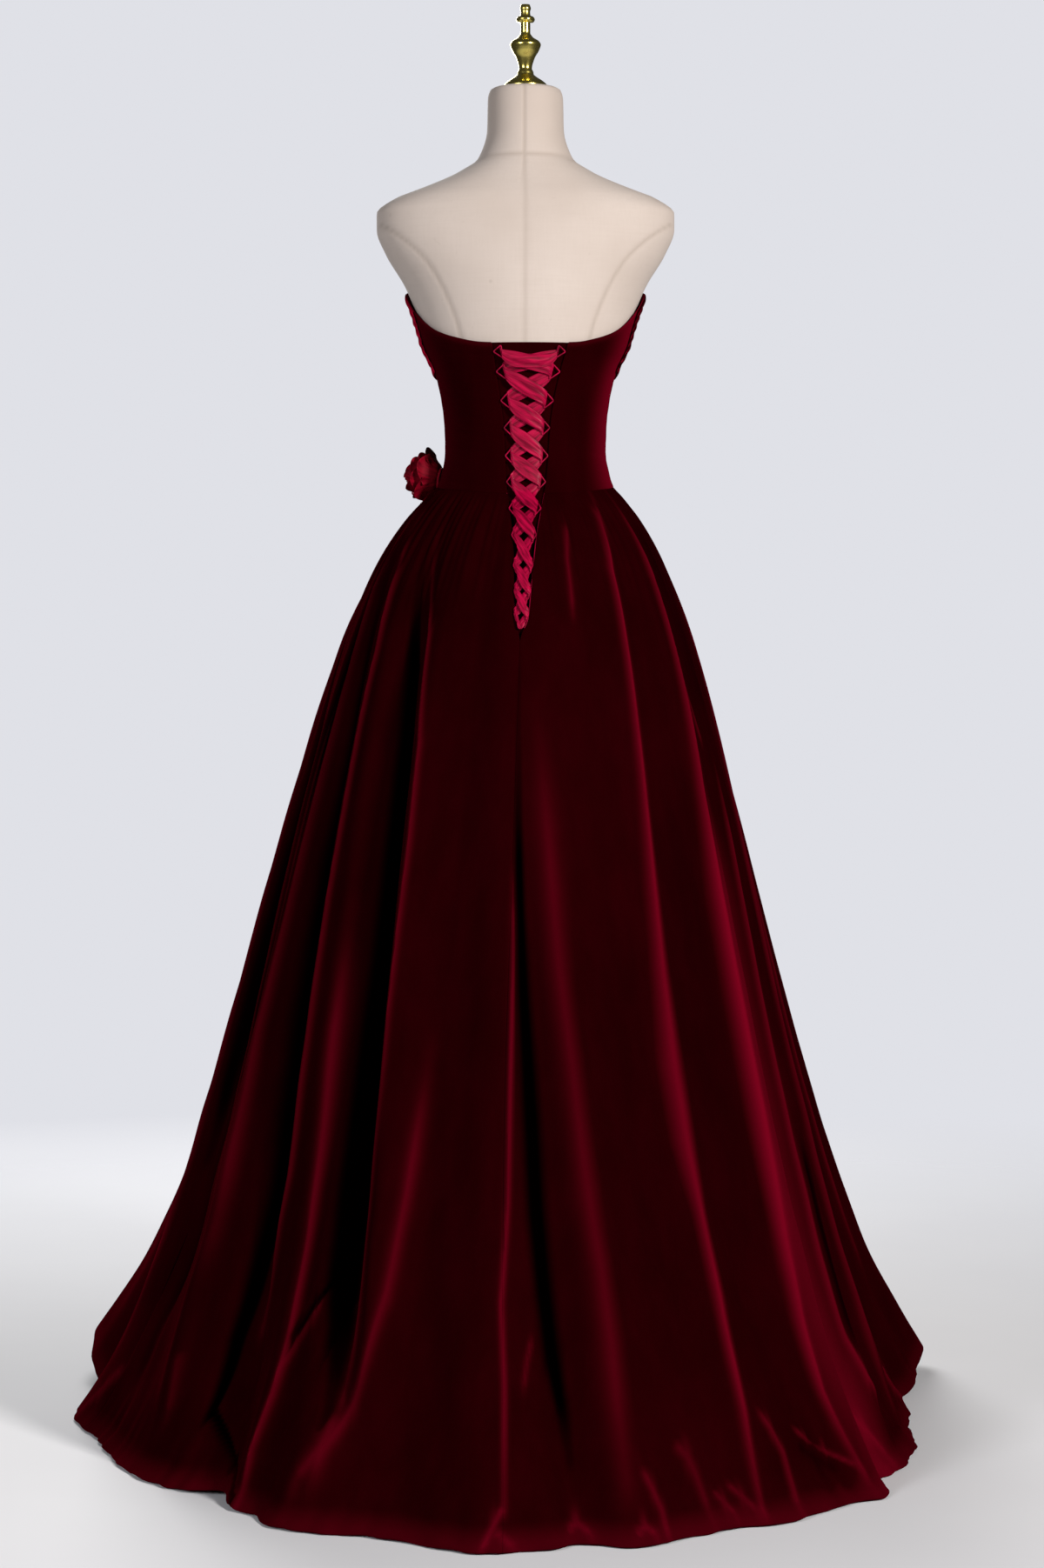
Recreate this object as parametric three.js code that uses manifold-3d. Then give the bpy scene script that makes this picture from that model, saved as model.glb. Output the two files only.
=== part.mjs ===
// A strapless velvet prom dress with a laced back, worn by a limbless dress form on a round-based stand.
// Millimetres, +Z up, the wearer faces -Y. The origin is on the floor under the middle of the stand's base.
// A compass angle runs round the upright axis: 0 is the centre back (+Y), and it grows towards -X.
import * as THREE from "three";
import { mergeVertices } from "three/addons/utils/BufferGeometryUtils.js";
import Module from "manifold-3d";

// ---------------------------------------------------------------- driving dimensions

const CLOTH = 1.8; // velvet with its backing
const BODICE_IN = 2.8; // from the form to the inside of the bodice
const BODICE_OUT = BODICE_IN + CLOTH;
const SEAM_GAP = 0.3; // between pieces that are sewn together
const SIDE_SEAM = 78; // ellipse angle of the bodice's side seams
const SKIRT_SEAM = 92; // compass angle of the skirt's side seams

const WAIST = { high: 1219, backDip: 21, sink: 1.5 }; // the waist seam dips to the centre back
const FLARE = { share: 0.179, reach: 0.08, kick: 0.147, power: 7.5 }; // how the skirt's outline spreads

const V_TIP = 1015; // height of the foot of the laced opening
const MODESTY = { top: 1384, rows: 9, lowerRows: 8, columns: 6, lapAtFoot: 4, lapAtTop: 14 };
const LACE = {
  modestyIn: 0.6,
  modestyOut: 1.7,
  modestySink: 3, // how much deeper the modesty panel lies below the waist seam
  under: 4.8, // lift of the ribbon's strips that pass behind
  bar: 6.7, // lift of the loops that hold the ribbon
  over: 8.7, // lift of the strips that pass in front
  top: 9.7, // lift of the strip across the top
  ribbonThick: 0.7,
  ribbonWide: 18,
  ribbonTail: 3, // width of the ribbon where it ends in the seam
  topWide: 15,
  topEndWide: 6,
  topUp: 1366,
  topRise: 7, // how far the top strip climbs to its two ends
  cordWide: 1.5,
  inset: 0.9, // from the cloth's edge to the piping
  cordThick: 1.2,
  clearance: 0.85, // between the ribbon and the bar it turns round
  loopWall: 2.8, // height of a loop's own cord above and below its hole
};

const STAND = { baseRadius: 155, baseEdge: 10, baseTop: 26, poleRadius: 12.5, hipFloor: 990, capRadius: 34 };

const ROSE = {
  angle: -104,
  height: 1230,
  lean: 14,
  standOff: 1.6,
  radius: 36,
  depth: 47,
  petal: 2.2,
  lap: 1.22, // how far each petal runs over the next
  budRadius: 7.5,
  footRadius: 17,
};

const COLOURS = {
  velvet: 0x4a0512,
  satin: 0xb5123c,
  linen: 0xd8ccbc,
  brass: 0xc9a23a,
  iron: 0x2a2826,
};

// ---------------------------------------------------------------- tables

// The dress form: half width and depths from its axis at each height.
const FORM = [
  { up: 990, side: 118, back: 92, fore: 84 },
  { up: 1012, side: 131, back: 103, fore: 94 },
  { up: 1080, side: 136, back: 108, fore: 98 },
  { up: 1150, side: 125, back: 98, fore: 95 },
  { up: 1205, side: 109.6, back: 86, fore: 89 },
  { up: 1222, side: 104, back: 83, fore: 86 },
  { up: 1255, side: 98, back: 79, fore: 83 },
  { up: 1289, side: 99, back: 80, fore: 85 },
  { up: 1322, side: 103, back: 83, fore: 91 },
  { up: 1356, side: 111.2, back: 87, fore: 99 },
  { up: 1389, side: 126.6, back: 91, fore: 106 },
  { up: 1406, side: 131.5, back: 93, fore: 107 },
  { up: 1444, side: 144, back: 96, fore: 104 },
  { up: 1467, side: 154, back: 97, fore: 99 },
  { up: 1509, side: 179, back: 97, fore: 88 },
  { up: 1539, side: 190, back: 94, fore: 78 },
  { up: 1560, side: 190, back: 89, fore: 71 },
  { up: 1578, side: 168, back: 84, fore: 65 },
  { up: 1589, side: 140, back: 79, fore: 61 },
  { up: 1600, side: 112, back: 74, fore: 57 },
  { up: 1611, side: 88, back: 69, fore: 54 },
  { up: 1631, side: 60, back: 61, fore: 50 },
  { up: 1667, side: 49, back: 54, fore: 48 },
  { up: 1706, side: 48, back: 50, fore: 47 },
  { up: 1717, side: 45, back: 47, fore: 44 },
  { up: 1720, side: 40, back: 42, fore: 39 },
];

// The two bust mounds of the form, one each side of the front.
const BUST = { rise: 20, up: 1402, tall: 44, out: 33, wide: 21 };

// The top edge of the bodice at each compass angle, the same on both sides.
const TOP_EDGE = [
  { at: 0, up: 1387 },
  { at: 20, up: 1389 },
  { at: 40, up: 1397 },
  { at: 58, up: 1409 },
  { at: 75, up: 1429 },
  { at: 90, up: 1453 },
  { at: 105, up: 1462 },
  { at: 130, up: 1470 },
  { at: 150, up: 1474 },
  { at: 168, up: 1452 },
  { at: 180, up: 1434 },
];

// The laced opening: where its middle lies across the back, and half its width.
const OPENING = [
  { up: 1005, middle: 7.6, half: 0.15 },
  { up: V_TIP, middle: 7.4, half: 0.5 },
  { up: 1042, middle: 5.5, half: 8.2 },
  { up: 1075, middle: 4, half: 10 },
  { up: 1107, middle: 3, half: 12 },
  { up: 1145, middle: 2, half: 15.2 },
  { up: 1179, middle: 0.8, half: 20 },
  { up: 1213, middle: -0.6, half: 24.6 },
  { up: 1246, middle: -1.4, half: 27 },
  { up: 1281, middle: -1.7, half: 29 },
  { up: 1315, middle: -2, half: 33.4 },
  { up: 1352, middle: -3.3, half: 40.4 },
  { up: 1384, middle: -5.4, half: 47 },
  { up: 1400, middle: -6, half: 50 },
];

// The loops that hold the ribbon, from the top: how far each reaches in from the edge, and its own length.
const LOOPS = [
  { up: 1377, reach: 9, tall: 15 },
  { up: 1352, reach: 9, tall: 18 },
  { up: 1315, reach: 8.4, tall: 18 },
  { up: 1281, reach: 8, tall: 18 },
  { up: 1246, reach: 7.4, tall: 17 },
  { up: 1213, reach: 7, tall: 16 },
  { up: 1179, reach: 6.4, tall: 15 },
  { up: 1145, reach: 5.8, tall: 15 },
  { up: 1107, reach: 5.8, tall: 14 },
  { up: 1075, reach: 5.8, tall: 13.5 },
  { up: 1046, reach: 5.6, tall: 13 },
];

// The hem at each compass angle: how far out from the axis, and how high off the floor.
const HEM = [
  { at: -180, out: 640, up: 38 },
  { at: -152, out: 690, up: 40 },
  { at: -131, out: 745, up: 60 },
  { at: -112, out: 636, up: 8 },
  { at: -96, out: 572, up: 1.6 },
  { at: -82, out: 530, up: 1.6 },
  { at: -57, out: 512, up: 1.6 },
  { at: -46, out: 480, up: 9 },
  { at: -38, out: 512, up: 1.6 },
  { at: -30, out: 547, up: 1.6 },
  { at: -18, out: 545, up: 1.6 },
  { at: -6, out: 577, up: 1.6 },
  { at: 3.5, out: 573, up: 1.6 },
  { at: 12, out: 564, up: 1.6 },
  { at: 21, out: 542, up: 1.6 },
  { at: 31, out: 522, up: 1.6 },
  { at: 43, out: 524, up: 1.6 },
  { at: 63, out: 492, up: 1.6 },
  { at: 90, out: 488, up: 1.6 },
  { at: 106, out: 530, up: 3 },
  { at: 121, out: 622, up: 14 },
  { at: 131, out: 698, up: 34 },
  { at: 152, out: 670, up: 36 },
  { at: 180, out: 640, up: 38 },
];

// Where the centre-back seam runs down the skirt: share of the way down, compass angle.
const BACK_SEAM = [
  { down: 0, at: 0.3 },
  { down: 0.16, at: -2 },
  { down: 0.4, at: -3.2 },
  { down: 0.6, at: -3.8 },
  { down: 1, at: -2.5 },
];

// The skirt's large folds: angles at the waist, halfway and the hem; the shares of the way down where each
// starts, is full and ends; its height at the hem (a valley's is negative); its spread on each side in degrees.
const FOLDS = [
  { waist: -3, half: -3.4, hem: -3, start: 0.17, full: 0.5, end: 1.1, high: 13, before: 6, after: 1.7 },
  { waist: -1.5, half: 0.6, hem: 6, start: 0.15, full: 0.5, end: 1.1, high: -24, before: 2.2, after: 4 },
  { waist: 5, half: 8, hem: 12.5, start: 0.25, full: 0.6, end: 1.1, high: 14, before: 3.5, after: 5 },
  { waist: 40, half: 32, hem: 31.5, start: 0, full: 0.3, end: 1.1, high: 21, before: 3.5, after: 6 },
  { waist: 62, half: 55, hem: 52.5, start: 0.02, full: 0.25, end: 1.1, high: 25, before: 4, after: 5 },
  { waist: 70, half: 65, hem: 60, start: 0.1, full: 0.5, end: 1.1, high: -13, before: 4, after: 3 },
  { waist: 80, half: 75, hem: 69, start: 0.1, full: 0.4, end: 1.1, high: 17, before: 3, after: 2.4 },
  { waist: 85, half: 80, hem: 75, start: 0.35, full: 0.6, end: 1.1, high: -18, before: 2.4, after: 2.8 },
  { waist: 92, half: 90, hem: 86, start: 0.4, full: 0.7, end: 1.1, high: 14, before: 3.5, after: 4 },
  { waist: 112, half: 112, hem: 110, start: 0.1, full: 0.5, end: 1.1, high: -20, before: 5, after: 5 },
  { waist: 126, half: 128, hem: 129, start: 0.05, full: 0.4, end: 1.1, high: 24, before: 6, after: 6 },
  { waist: 146, half: 145, hem: 143, start: 0.05, full: 0.4, end: 1.1, high: -28, before: 6, after: 5 },
  { waist: 160, half: 161, hem: 163, start: 0.1, full: 0.5, end: 1.1, high: 20, before: 5, after: 6 },
  { waist: 177, half: 178, hem: 176, start: 0.05, full: 0.4, end: 1.1, high: -25, before: 6, after: 6 },
  { waist: -167, half: -165, hem: -166, start: 0.1, full: 0.5, end: 1.1, high: 19, before: 5, after: 6 },
  { waist: -151, half: -150, hem: -147, start: 0.05, full: 0.4, end: 1.1, high: -30, before: 6, after: 6 },
  { waist: -134, half: -132, hem: -130, start: 0.05, full: 0.5, end: 1.1, high: 22, before: 6, after: 6 },
  { waist: -118, half: -117, hem: -114, start: 0.1, full: 0.5, end: 1.1, high: -18, before: 4, after: 4 },
  { waist: -108, half: -105, hem: -99, start: 0.1, full: 0.5, end: 1.1, high: 12, before: 5, after: 6 },
  { waist: -100, half: -93, hem: -84, start: 0.12, full: 0.4, end: 1.1, high: -22, before: 5, after: 4 },
  { waist: -88, half: -77, hem: -66, start: 0.08, full: 0.4, end: 1.1, high: 20, before: 5, after: 3.5 },
  { waist: -80, half: -67, hem: -49, start: 0.05, full: 0.3, end: 1.0, high: -36, before: 5, after: 4 },
  { waist: -62, half: -49, hem: -42, start: 0.03, full: 0.3, end: 1.1, high: 22, before: 4, after: 3 },
  { waist: -50, half: -36, hem: -26.5, start: 0.01, full: 0.2, end: 0.95, high: -44, before: 4.5, after: 3.4 },
  { waist: -45, half: -29.5, hem: -22, start: 0.05, full: 0.3, end: 0.92, high: 13, before: 1.8, after: 5 },
  { waist: -19, half: -19, hem: -31, start: 0.5, full: 0.75, end: 1.1, high: 10, before: 3, after: 4 },
];

// The short gathers under the waist seam: compass angle, height, spread in degrees.
const GATHERS = [
  { at: 22, high: 3.2, spread: 3.5 },
  { at: 31, high: 2.6, spread: 3 },
  { at: 48, high: 2.8, spread: 4 },
  { at: 72, high: 2.6, spread: 4 },
  { at: 97, high: 3, spread: 4 },
  { at: 108, high: 2.4, spread: 4 },
  { at: 121, high: 3.2, spread: 4 },
  { at: 138, high: 2.8, spread: 4 },
  { at: 152, high: 2.6, spread: 4 },
  { at: 169, high: 3.2, spread: 4 },
  { at: -174, high: 2.6, spread: 4 },
  { at: -158, high: 3, spread: 4 },
  { at: -143, high: 2.6, spread: 4 },
  { at: -126, high: 2.8, spread: 4 },
  { at: -94, high: 3, spread: 4 },
  { at: -73, high: 3, spread: 4 },
  { at: -41, high: 3, spread: 3.5 },
  { at: -26, high: 2.6, spread: 3 },
];

// The finial's outline, from the neck cap up.
const FINIAL = [
  { up: 0, out: 27.8 },
  { up: 2.5, out: 27.8 },
  { up: 6, out: 22 },
  { up: 11, out: 14.5 },
  { up: 15, out: 10.5 },
  { up: 21, out: 10 },
  { up: 25, out: 8.3 },
  { up: 38, out: 11.5 },
  { up: 49, out: 17.5 },
  { up: 56, out: 19.7 },
  { up: 60, out: 17.5 },
  { up: 65, out: 10 },
  { up: 71, out: 6.2 },
  { up: 84, out: 6.2 },
  { up: 85, out: 11.3 },
  { up: 91, out: 11.3 },
  { up: 93, out: 6.5 },
  { up: 98, out: 6 },
  { up: 102, out: 7 },
  { up: 107, out: 5.6 },
];

// The skirt panels' rows, as shares of the way down.
const SKIRT_ROWS = [
  0, 0.02, 0.045, 0.07, 0.1, 0.13, 0.153, 0.2, 0.27, 0.35, 0.45, 0.55, 0.65, 0.75, 0.84, 0.92, 0.97, 1,
];
const CAP_Z = FORM.at(-1).up;
const BACK_COLUMNS = 29; // of a back panel of the skirt
const FRONT_COLUMNS = 36; // of the front panel of the skirt
const TORSO_COLUMNS = 28;

// ---------------------------------------------------------------- small maths

const radians = THREE.MathUtils.degToRad;
const smooth = THREE.MathUtils.smoothstep;
const lerp = THREE.MathUtils.lerp;

/** A table's column at a place between its rows, by a cubic that never overshoots a row. */
function along(rows, key, column, place) {
  const last = rows.length - 1;
  if (place <= rows[0][key]) return rows[0][column];
  if (place >= rows[last][key]) return rows[last][column];
  const i = rows.findIndex((row) => row[key] > place) - 1;
  const rise = (k) => (rows[k + 1][column] - rows[k][column]) / (rows[k + 1][key] - rows[k][key]);
  const slope = (k) => {
    if (k === 0) return rise(0);
    if (k === last) return rise(last - 1);
    const [before, after] = [rise(k - 1), rise(k)];
    return before * after <= 0 ? 0 : (2 * before * after) / (before + after);
  };
  const step = rows[i + 1][key] - rows[i][key];
  const t = (place - rows[i][key]) / step;
  const [t2, t3] = [t * t, t * t * t];
  return (
    (2 * t3 - 3 * t2 + 1) * rows[i][column] +
    (t3 - 2 * t2 + t) * step * slope(i) +
    (3 * t2 - 2 * t3) * rows[i + 1][column] +
    (t3 - t2) * step * slope(i + 1)
  );
}

/** The difference of two compass angles, from -180 to 180. */
function turn(from, to) {
  return ((((to - from + 180) % 360) + 360) % 360) - 180;
}

/** Evenly spaced shares from 0 to 1, both ends included. */
function shares(count) {
  return Array.from({ length: count + 1 }, (_, i) => i / count);
}

// ---------------------------------------------------------------- the form's surface

/** A point at a lift off the form. Its angle is that of the section's ellipse, 0 at the centre back. */
function formPoint(angle, up, lift) {
  const a = radians(angle);
  const side = along(FORM, "up", "side", up);
  const depth = along(FORM, "up", Math.cos(a) > 0 ? "back" : "fore", up);
  const normal = new THREE.Vector2(-Math.sin(a) * depth, Math.cos(a) * side).normalize();
  const fromFront = 180 - Math.abs(turn(0, angle));
  const mound =
    BUST.rise *
    Math.exp(-(((fromFront - BUST.out) / BUST.wide) ** 2)) *
    Math.exp(-(((up - BUST.up) / BUST.tall) ** 2));
  const off = lift + mound;
  return new THREE.Vector3(-side * Math.sin(a) + normal.x * off, depth * Math.cos(a) + normal.y * off, up);
}

/** Height of the waist seam at a compass angle. */
function waistUp(compass) {
  return WAIST.high - WAIST.backDip * ((1 + Math.cos(radians(compass))) / 2) ** WAIST.sink;
}

/** The compass angle of a point at the waist whose ellipse angle is given. */
function compassOf(angle) {
  const point = formPoint(angle, WAIST.high - WAIST.backDip / 2, BODICE_OUT);
  return THREE.MathUtils.radToDeg(Math.atan2(-point.x, point.y));
}

/** Height of the bodice's top edge at an ellipse angle. */
function topUp(angle) {
  return along(TOP_EDGE, "at", "up", Math.abs(turn(0, angle)));
}

// ---------------------------------------------------------------- the skirt's surface

/** How far out the outside of the bodice's foot lies at a compass angle. */
function waistOut(angle) {
  const a = radians(angle);
  const up = waistUp(angle);
  const side = along(FORM, "up", "side", up) + BODICE_OUT;
  const depth = along(FORM, "up", Math.cos(a) > 0 ? "back" : "fore", up) + BODICE_OUT;
  return 1 / Math.hypot(Math.sin(a) / side, Math.cos(a) / depth);
}

/** A fold's angle on its way down: it swings quickly under the waist and slowly lower down. */
function foldAngle(fold, down) {
  const swing = down < 0.45 ? Math.sqrt(down / 0.45) : (down - 0.45) / 0.55;
  return down < 0.45 ? lerp(fold.waist, fold.half, swing) : lerp(fold.half, fold.hem, swing);
}

/** How far the folds and gathers push the cloth out at a compass angle and a share of the way down. */
function foldOut(angle, down, spread) {
  let out = 0;
  for (const fold of FOLDS) {
    const off = turn(foldAngle(fold, down), angle);
    const wide = off < 0 ? fold.before : fold.after;
    const grown = smooth(down, fold.start, fold.full) * (1 - smooth(down, fold.end - 0.12, fold.end));
    out += fold.high * spread * grown * Math.exp(-((off / wide) ** 2));
  }
  const gathered = smooth(down, 0, 0.035) * (1 - smooth(down, 0.06, 0.17));
  for (const gather of GATHERS) {
    out += gather.high * gathered * Math.exp(-((turn(gather.at, angle) / gather.spread) ** 2));
  }
  return out;
}

/** A point on the outside of the skirt. */
function skirtPoint(angle, down) {
  const a = radians(angle);
  const compass = turn(0, angle);
  const waist = waistOut(angle);
  const hem = along(HEM, "at", "out", compass);
  const share = FLARE.share * (Math.cos(a) > 0 ? 1 - 0.25 * Math.cos(a) ** 2 : 1);
  const early = share * (1 - Math.exp(-down / FLARE.reach));
  const late = (1 - share - FLARE.kick) * down + FLARE.kick * down ** FLARE.power;
  const out = waist + (hem - waist) * (early + late) + foldOut(angle, down, early + late);
  const top = waistUp(angle) - SEAM_GAP;
  const up = lerp(top, along(HEM, "at", "up", compass), down);
  return new THREE.Vector3(-out * Math.sin(a), out * Math.cos(a), up);
}

/** The skirt's outward normal, from points a little to each side. */
function skirtNormal(angle, down) {
  const [low, high] = [Math.max(0, down - 0.004), Math.min(1, down + 0.004)];
  const across = skirtPoint(angle + 0.2, down).sub(skirtPoint(angle - 0.2, down));
  const fall = skirtPoint(angle, high).sub(skirtPoint(angle, low));
  return fall.cross(across).normalize();
}

/** The compass angle of the skirt's edge beside the laced opening, and of the centre-back seam below it. */
function backEdge(side, down) {
  const middle = along(BACK_SEAM, "down", "at", down);
  const centre = skirtPoint(middle, down);
  const half = centre.z > V_TIP ? along(OPENING, "up", "half", centre.z) : SEAM_GAP / 2;
  return middle + (side * THREE.MathUtils.radToDeg(Math.asin(half / Math.hypot(centre.x, centre.y))));
}

// ---------------------------------------------------------------- the surface that the lacing lies on

/** The height on the back of the dress as a depth: the bodice's outside above the seam, the skirt's below. */
function backDepth(x, up) {
  if (up >= waistUp(0)) {
    const side = along(FORM, "up", "side", up) + BODICE_OUT;
    const depth = along(FORM, "up", "back", up) + BODICE_OUT;
    return depth * Math.sqrt(1 - (x / side) ** 2);
  }
  const down = (waistUp(0) - up) / waistUp(0);
  const centre = skirtPoint(0, down).y;
  return Math.sqrt(centre ** 2 - x ** 2);
}

/** A point on the back at a lift off the form, or what would be that lift where the skirt stands off it. */
function backPoint(x, up, lift) {
  const onBodice = up >= waistUp(0);
  const [low, high] = onBodice ? [up, up + 12] : [up - 12, up];
  const slope = (backDepth(x, low) - backDepth(x, high)) / 12;
  return new THREE.Vector3(x, backDepth(x, up) + (lift - BODICE_OUT) * Math.hypot(1, slope), up);
}

// ---------------------------------------------------------------- meshes

const wasm = await Module();
wasm.setup();

/** A closed geometry from its points and triangles, turned so that its faces point out. */
function closed(points, faces) {
  const cross = new THREE.Vector3();
  let volume = 0;
  for (const [i, j, k] of faces) volume += cross.crossVectors(points[i], points[j]).dot(points[k]);
  const flat = faces.flatMap(([i, j, k]) => (volume < 0 ? [i, k, j] : [i, j, k]));
  const geometry = new THREE.BufferGeometry();
  geometry.setFromPoints(points);
  geometry.setIndex(flat);
  return geometry;
}

/** A wall between an outer and an inner grid of points, closed along its four edges. */
function wall(outer, inner) {
  const [rows, columns] = [outer.length, outer[0].length];
  const points = [...outer.flat(), ...inner.flat()];
  const out = (r, c) => r * columns + c;
  const into = (r, c) => rows * columns + out(r, c);
  const faces = [];
  const quad = (a, b, c, d) => faces.push([a, b, c], [a, c, d]);
  for (let r = 0; r + 1 < rows; r++) {
    for (let c = 0; c + 1 < columns; c++) {
      quad(out(r, c), out(r + 1, c), out(r + 1, c + 1), out(r, c + 1));
      quad(into(r, c), into(r, c + 1), into(r + 1, c + 1), into(r + 1, c));
    }
    quad(out(r, 0), into(r, 0), into(r + 1, 0), out(r + 1, 0));
    quad(out(r, columns - 1), out(r + 1, columns - 1), into(r + 1, columns - 1), into(r, columns - 1));
  }
  for (let c = 0; c + 1 < columns; c++) {
    quad(out(0, c), out(0, c + 1), into(0, c + 1), into(0, c));
    quad(out(rows - 1, c), into(rows - 1, c), into(rows - 1, c + 1), out(rows - 1, c + 1));
  }
  return closed(points, faces);
}

/** A solid through closed sections of equal length, its ends closed by fans. */
function loft(sections) {
  const size = sections[0].length;
  const points = sections.flat();
  const faces = [];
  for (let s = 0; s + 1 < sections.length; s++) {
    for (let i = 0; i < size; i++) {
      const [a, b] = [s * size + i, s * size + ((i + 1) % size)];
      faces.push([a, b, b + size], [a, b + size, a + size]);
    }
  }
  for (const s of [0, sections.length - 1]) {
    const middle = new THREE.Vector3();
    sections[s].forEach((point) => middle.addScaledVector(point, 1 / size));
    const centre = points.push(middle) - 1;
    for (let i = 0; i < size; i++) {
      const [a, b] = [s * size + i, s * size + ((i + 1) % size)];
      faces.push(s ? [a, b, centre] : [b, a, centre]);
    }
  }
  return closed(points, faces);
}

/** Joins closed geometries into one. */
function united(geometries) {
  const solids = geometries.map((geometry) => {
    const merged = mergeVertices(geometry, 1e-4);
    return new wasm.Manifold(
      new wasm.Mesh({
        numProp: 3,
        vertProperties: new Float32Array(merged.attributes.position.array),
        triVerts: new Uint32Array(merged.index.array),
      }),
    );
  });
  const mesh = solids.reduce((a, b) => a.add(b)).getMesh();
  const geometry = new THREE.BufferGeometry();
  geometry.setAttribute("position", new THREE.BufferAttribute(mesh.vertProperties, 3));
  geometry.setIndex(new THREE.BufferAttribute(mesh.triVerts, 1));
  return geometry;
}

/** A lathe about the upright axis, from a list of rows of height and radius. */
function turned(rows, segments) {
  const outline = rows.map((row) => new THREE.Vector2(row.out, row.up));
  outline.unshift(new THREE.Vector2(0, rows[0].up));
  outline.push(new THREE.Vector2(0, rows.at(-1).up));
  const geometry = new THREE.LatheGeometry(outline, segments).rotateX(Math.PI / 2);
  geometry.deleteAttribute("normal");
  geometry.deleteAttribute("uv");
  return mergeVertices(geometry, 1e-4);
}

const group = new THREE.Group();

/** A plain material. */
function material(colour, roughness, metalness = 0) {
  return new THREE.MeshStandardMaterial({ color: colour, roughness, metalness });
}

const velvet = material(COLOURS.velvet, 0.95);
const satin = material(COLOURS.satin, 0.35);
const linen = material(COLOURS.linen, 0.9);
const brass = material(COLOURS.brass, 0.25, 1);
const iron = material(COLOURS.iron, 0.5, 0.6);

/** Adds one named piece. */
function add(name, geometry, finish) {
  geometry.computeVertexNormals();
  const mesh = new THREE.Mesh(geometry, finish);
  mesh.name = name;
  group.add(mesh);
  return mesh;
}

// ---------------------------------------------------------------- the dress form and its stand

/** The form's body: under the bodice the wide steps between two rows are halved. */
function torso() {
  const [foot, head, wide] = [1100, 1460, 30];
  const heights = FORM.flatMap((row, i) => {
    const next = FORM[i + 1];
    const halved = next && next.up - row.up > wide && row.up > foot && row.up < head;
    return halved ? [row.up, (row.up + next.up) / 2] : [row.up];
  });
  const section = (up) => shares(TORSO_COLUMNS).slice(0, -1).map((share) => formPoint(share * 360, up, 0));
  return loft(heights.map(section));
}

/** The round cast base, a low cone with an upright rim. */
function base() {
  return turned(
    [
      { up: 0, out: STAND.baseRadius },
      { up: STAND.baseEdge, out: STAND.baseRadius },
      { up: STAND.baseEdge + 6, out: STAND.baseRadius * 0.8 },
      { up: STAND.baseTop - 4, out: STAND.poleRadius * 2 },
      { up: STAND.baseTop, out: STAND.poleRadius * 1.6 },
    ],
    32,
  );
}

/** The pole with the collar that carries the form. */
function pole() {
  const foot = STAND.baseTop + SEAM_GAP;
  const head = STAND.hipFloor - SEAM_GAP;
  const collar = { foot: head - 16, out: STAND.capRadius };
  return turned(
    [
      { up: foot, out: STAND.poleRadius },
      { up: collar.foot, out: STAND.poleRadius },
      { up: collar.foot + 6, out: collar.out },
      { up: head, out: collar.out },
    ],
    16,
  );
}

/** The turned finial on the neck cap. */
function finial() {
  const rows = FINIAL.map((row) => ({ up: CAP_Z + SEAM_GAP + row.up, out: row.out }));
  return turned(rows, 12);
}

// ---------------------------------------------------------------- bodice

/** A bodice panel between two edge angles, which may change with height, through heights from foot to top. */
function bodiceGrid(from, to, columns, heights, lift) {
  return heights.map((heightAt) =>
    shares(columns).map((across) => {
      const up = heightAt(lerp(from(WAIST.high), to(WAIST.high), across));
      return formPoint(lerp(from(up), to(up), across), up, lift);
    }),
  );
}

/** The ellipse angle of the bodice's edge beside the laced opening. */
function lacedEdge(side, up) {
  const x = along(OPENING, "up", "middle", up) - side * along(OPENING, "up", "half", up);
  const half = along(FORM, "up", "side", up) + (BODICE_IN + BODICE_OUT) / 2;
  return THREE.MathUtils.radToDeg(Math.asin(-x / half));
}

/** Half of a side seam's gap in degrees, on the bodice's smallest depth. */
const seamTurn = THREE.MathUtils.radToDeg(SEAM_GAP / 2 / 95);
const BODICE_ROWS = 11;
const BODICE_BACK_COLUMNS = 8;

/** One back panel of the bodice, from the laced opening to the side seam. */
function bodiceBack(side) {
  const from = (up) => lacedEdge(side, up);
  const to = () => side * (SIDE_SEAM - seamTurn);
  const heightAt = (share) => (angle) => lerp(waistUp(compassOf(angle)), topUp(angle), share);
  const heights = shares(BODICE_ROWS).map(heightAt);
  return wall(
    bodiceGrid(from, to, BODICE_BACK_COLUMNS, heights, BODICE_OUT),
    bodiceGrid(from, to, BODICE_BACK_COLUMNS, heights, BODICE_IN),
  );
}

// The pleated drape over the bust: the height of its lower edge, its pleats and how far they rise.
const DRAPE = {
  foot: [
    { at: 78, up: 1356 },
    { at: 110, up: 1346 },
    { at: 150, up: 1332 },
    { at: 180, up: 1322 },
  ],
  pleats: 8,
  rise: 2.8,
  gap: 0.9,
  thick: 1.4,
};
const FRONT = { columns: 22, lowerRows: 4 };

/** The grid of the bodice's front at a lift, its upper rows one to each pleat of the drape. */
function frontGrid(lift) {
  const foot = (angle) => along(DRAPE.foot, "at", "up", Math.abs(turn(0, angle)));
  const below = (share) => (angle) => lerp(waistUp(compassOf(angle)), foot(angle), share);
  const above = (share) => (angle) => lerp(foot(angle), topUp(angle), share);
  const [lower, upper] = [shares(FRONT.lowerRows).map(below), shares(DRAPE.pleats).map(above)];
  const [from, to] = [() => SIDE_SEAM + seamTurn, () => 360 - SIDE_SEAM - seamTurn];
  return bodiceGrid(from, to, FRONT.columns, [...lower, ...upper.slice(1)], lift);
}

/** The front panel of the bodice, from side seam to side seam. */
function bodiceFront() {
  return wall(frontGrid(BODICE_OUT), frontGrid(BODICE_IN));
}

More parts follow.
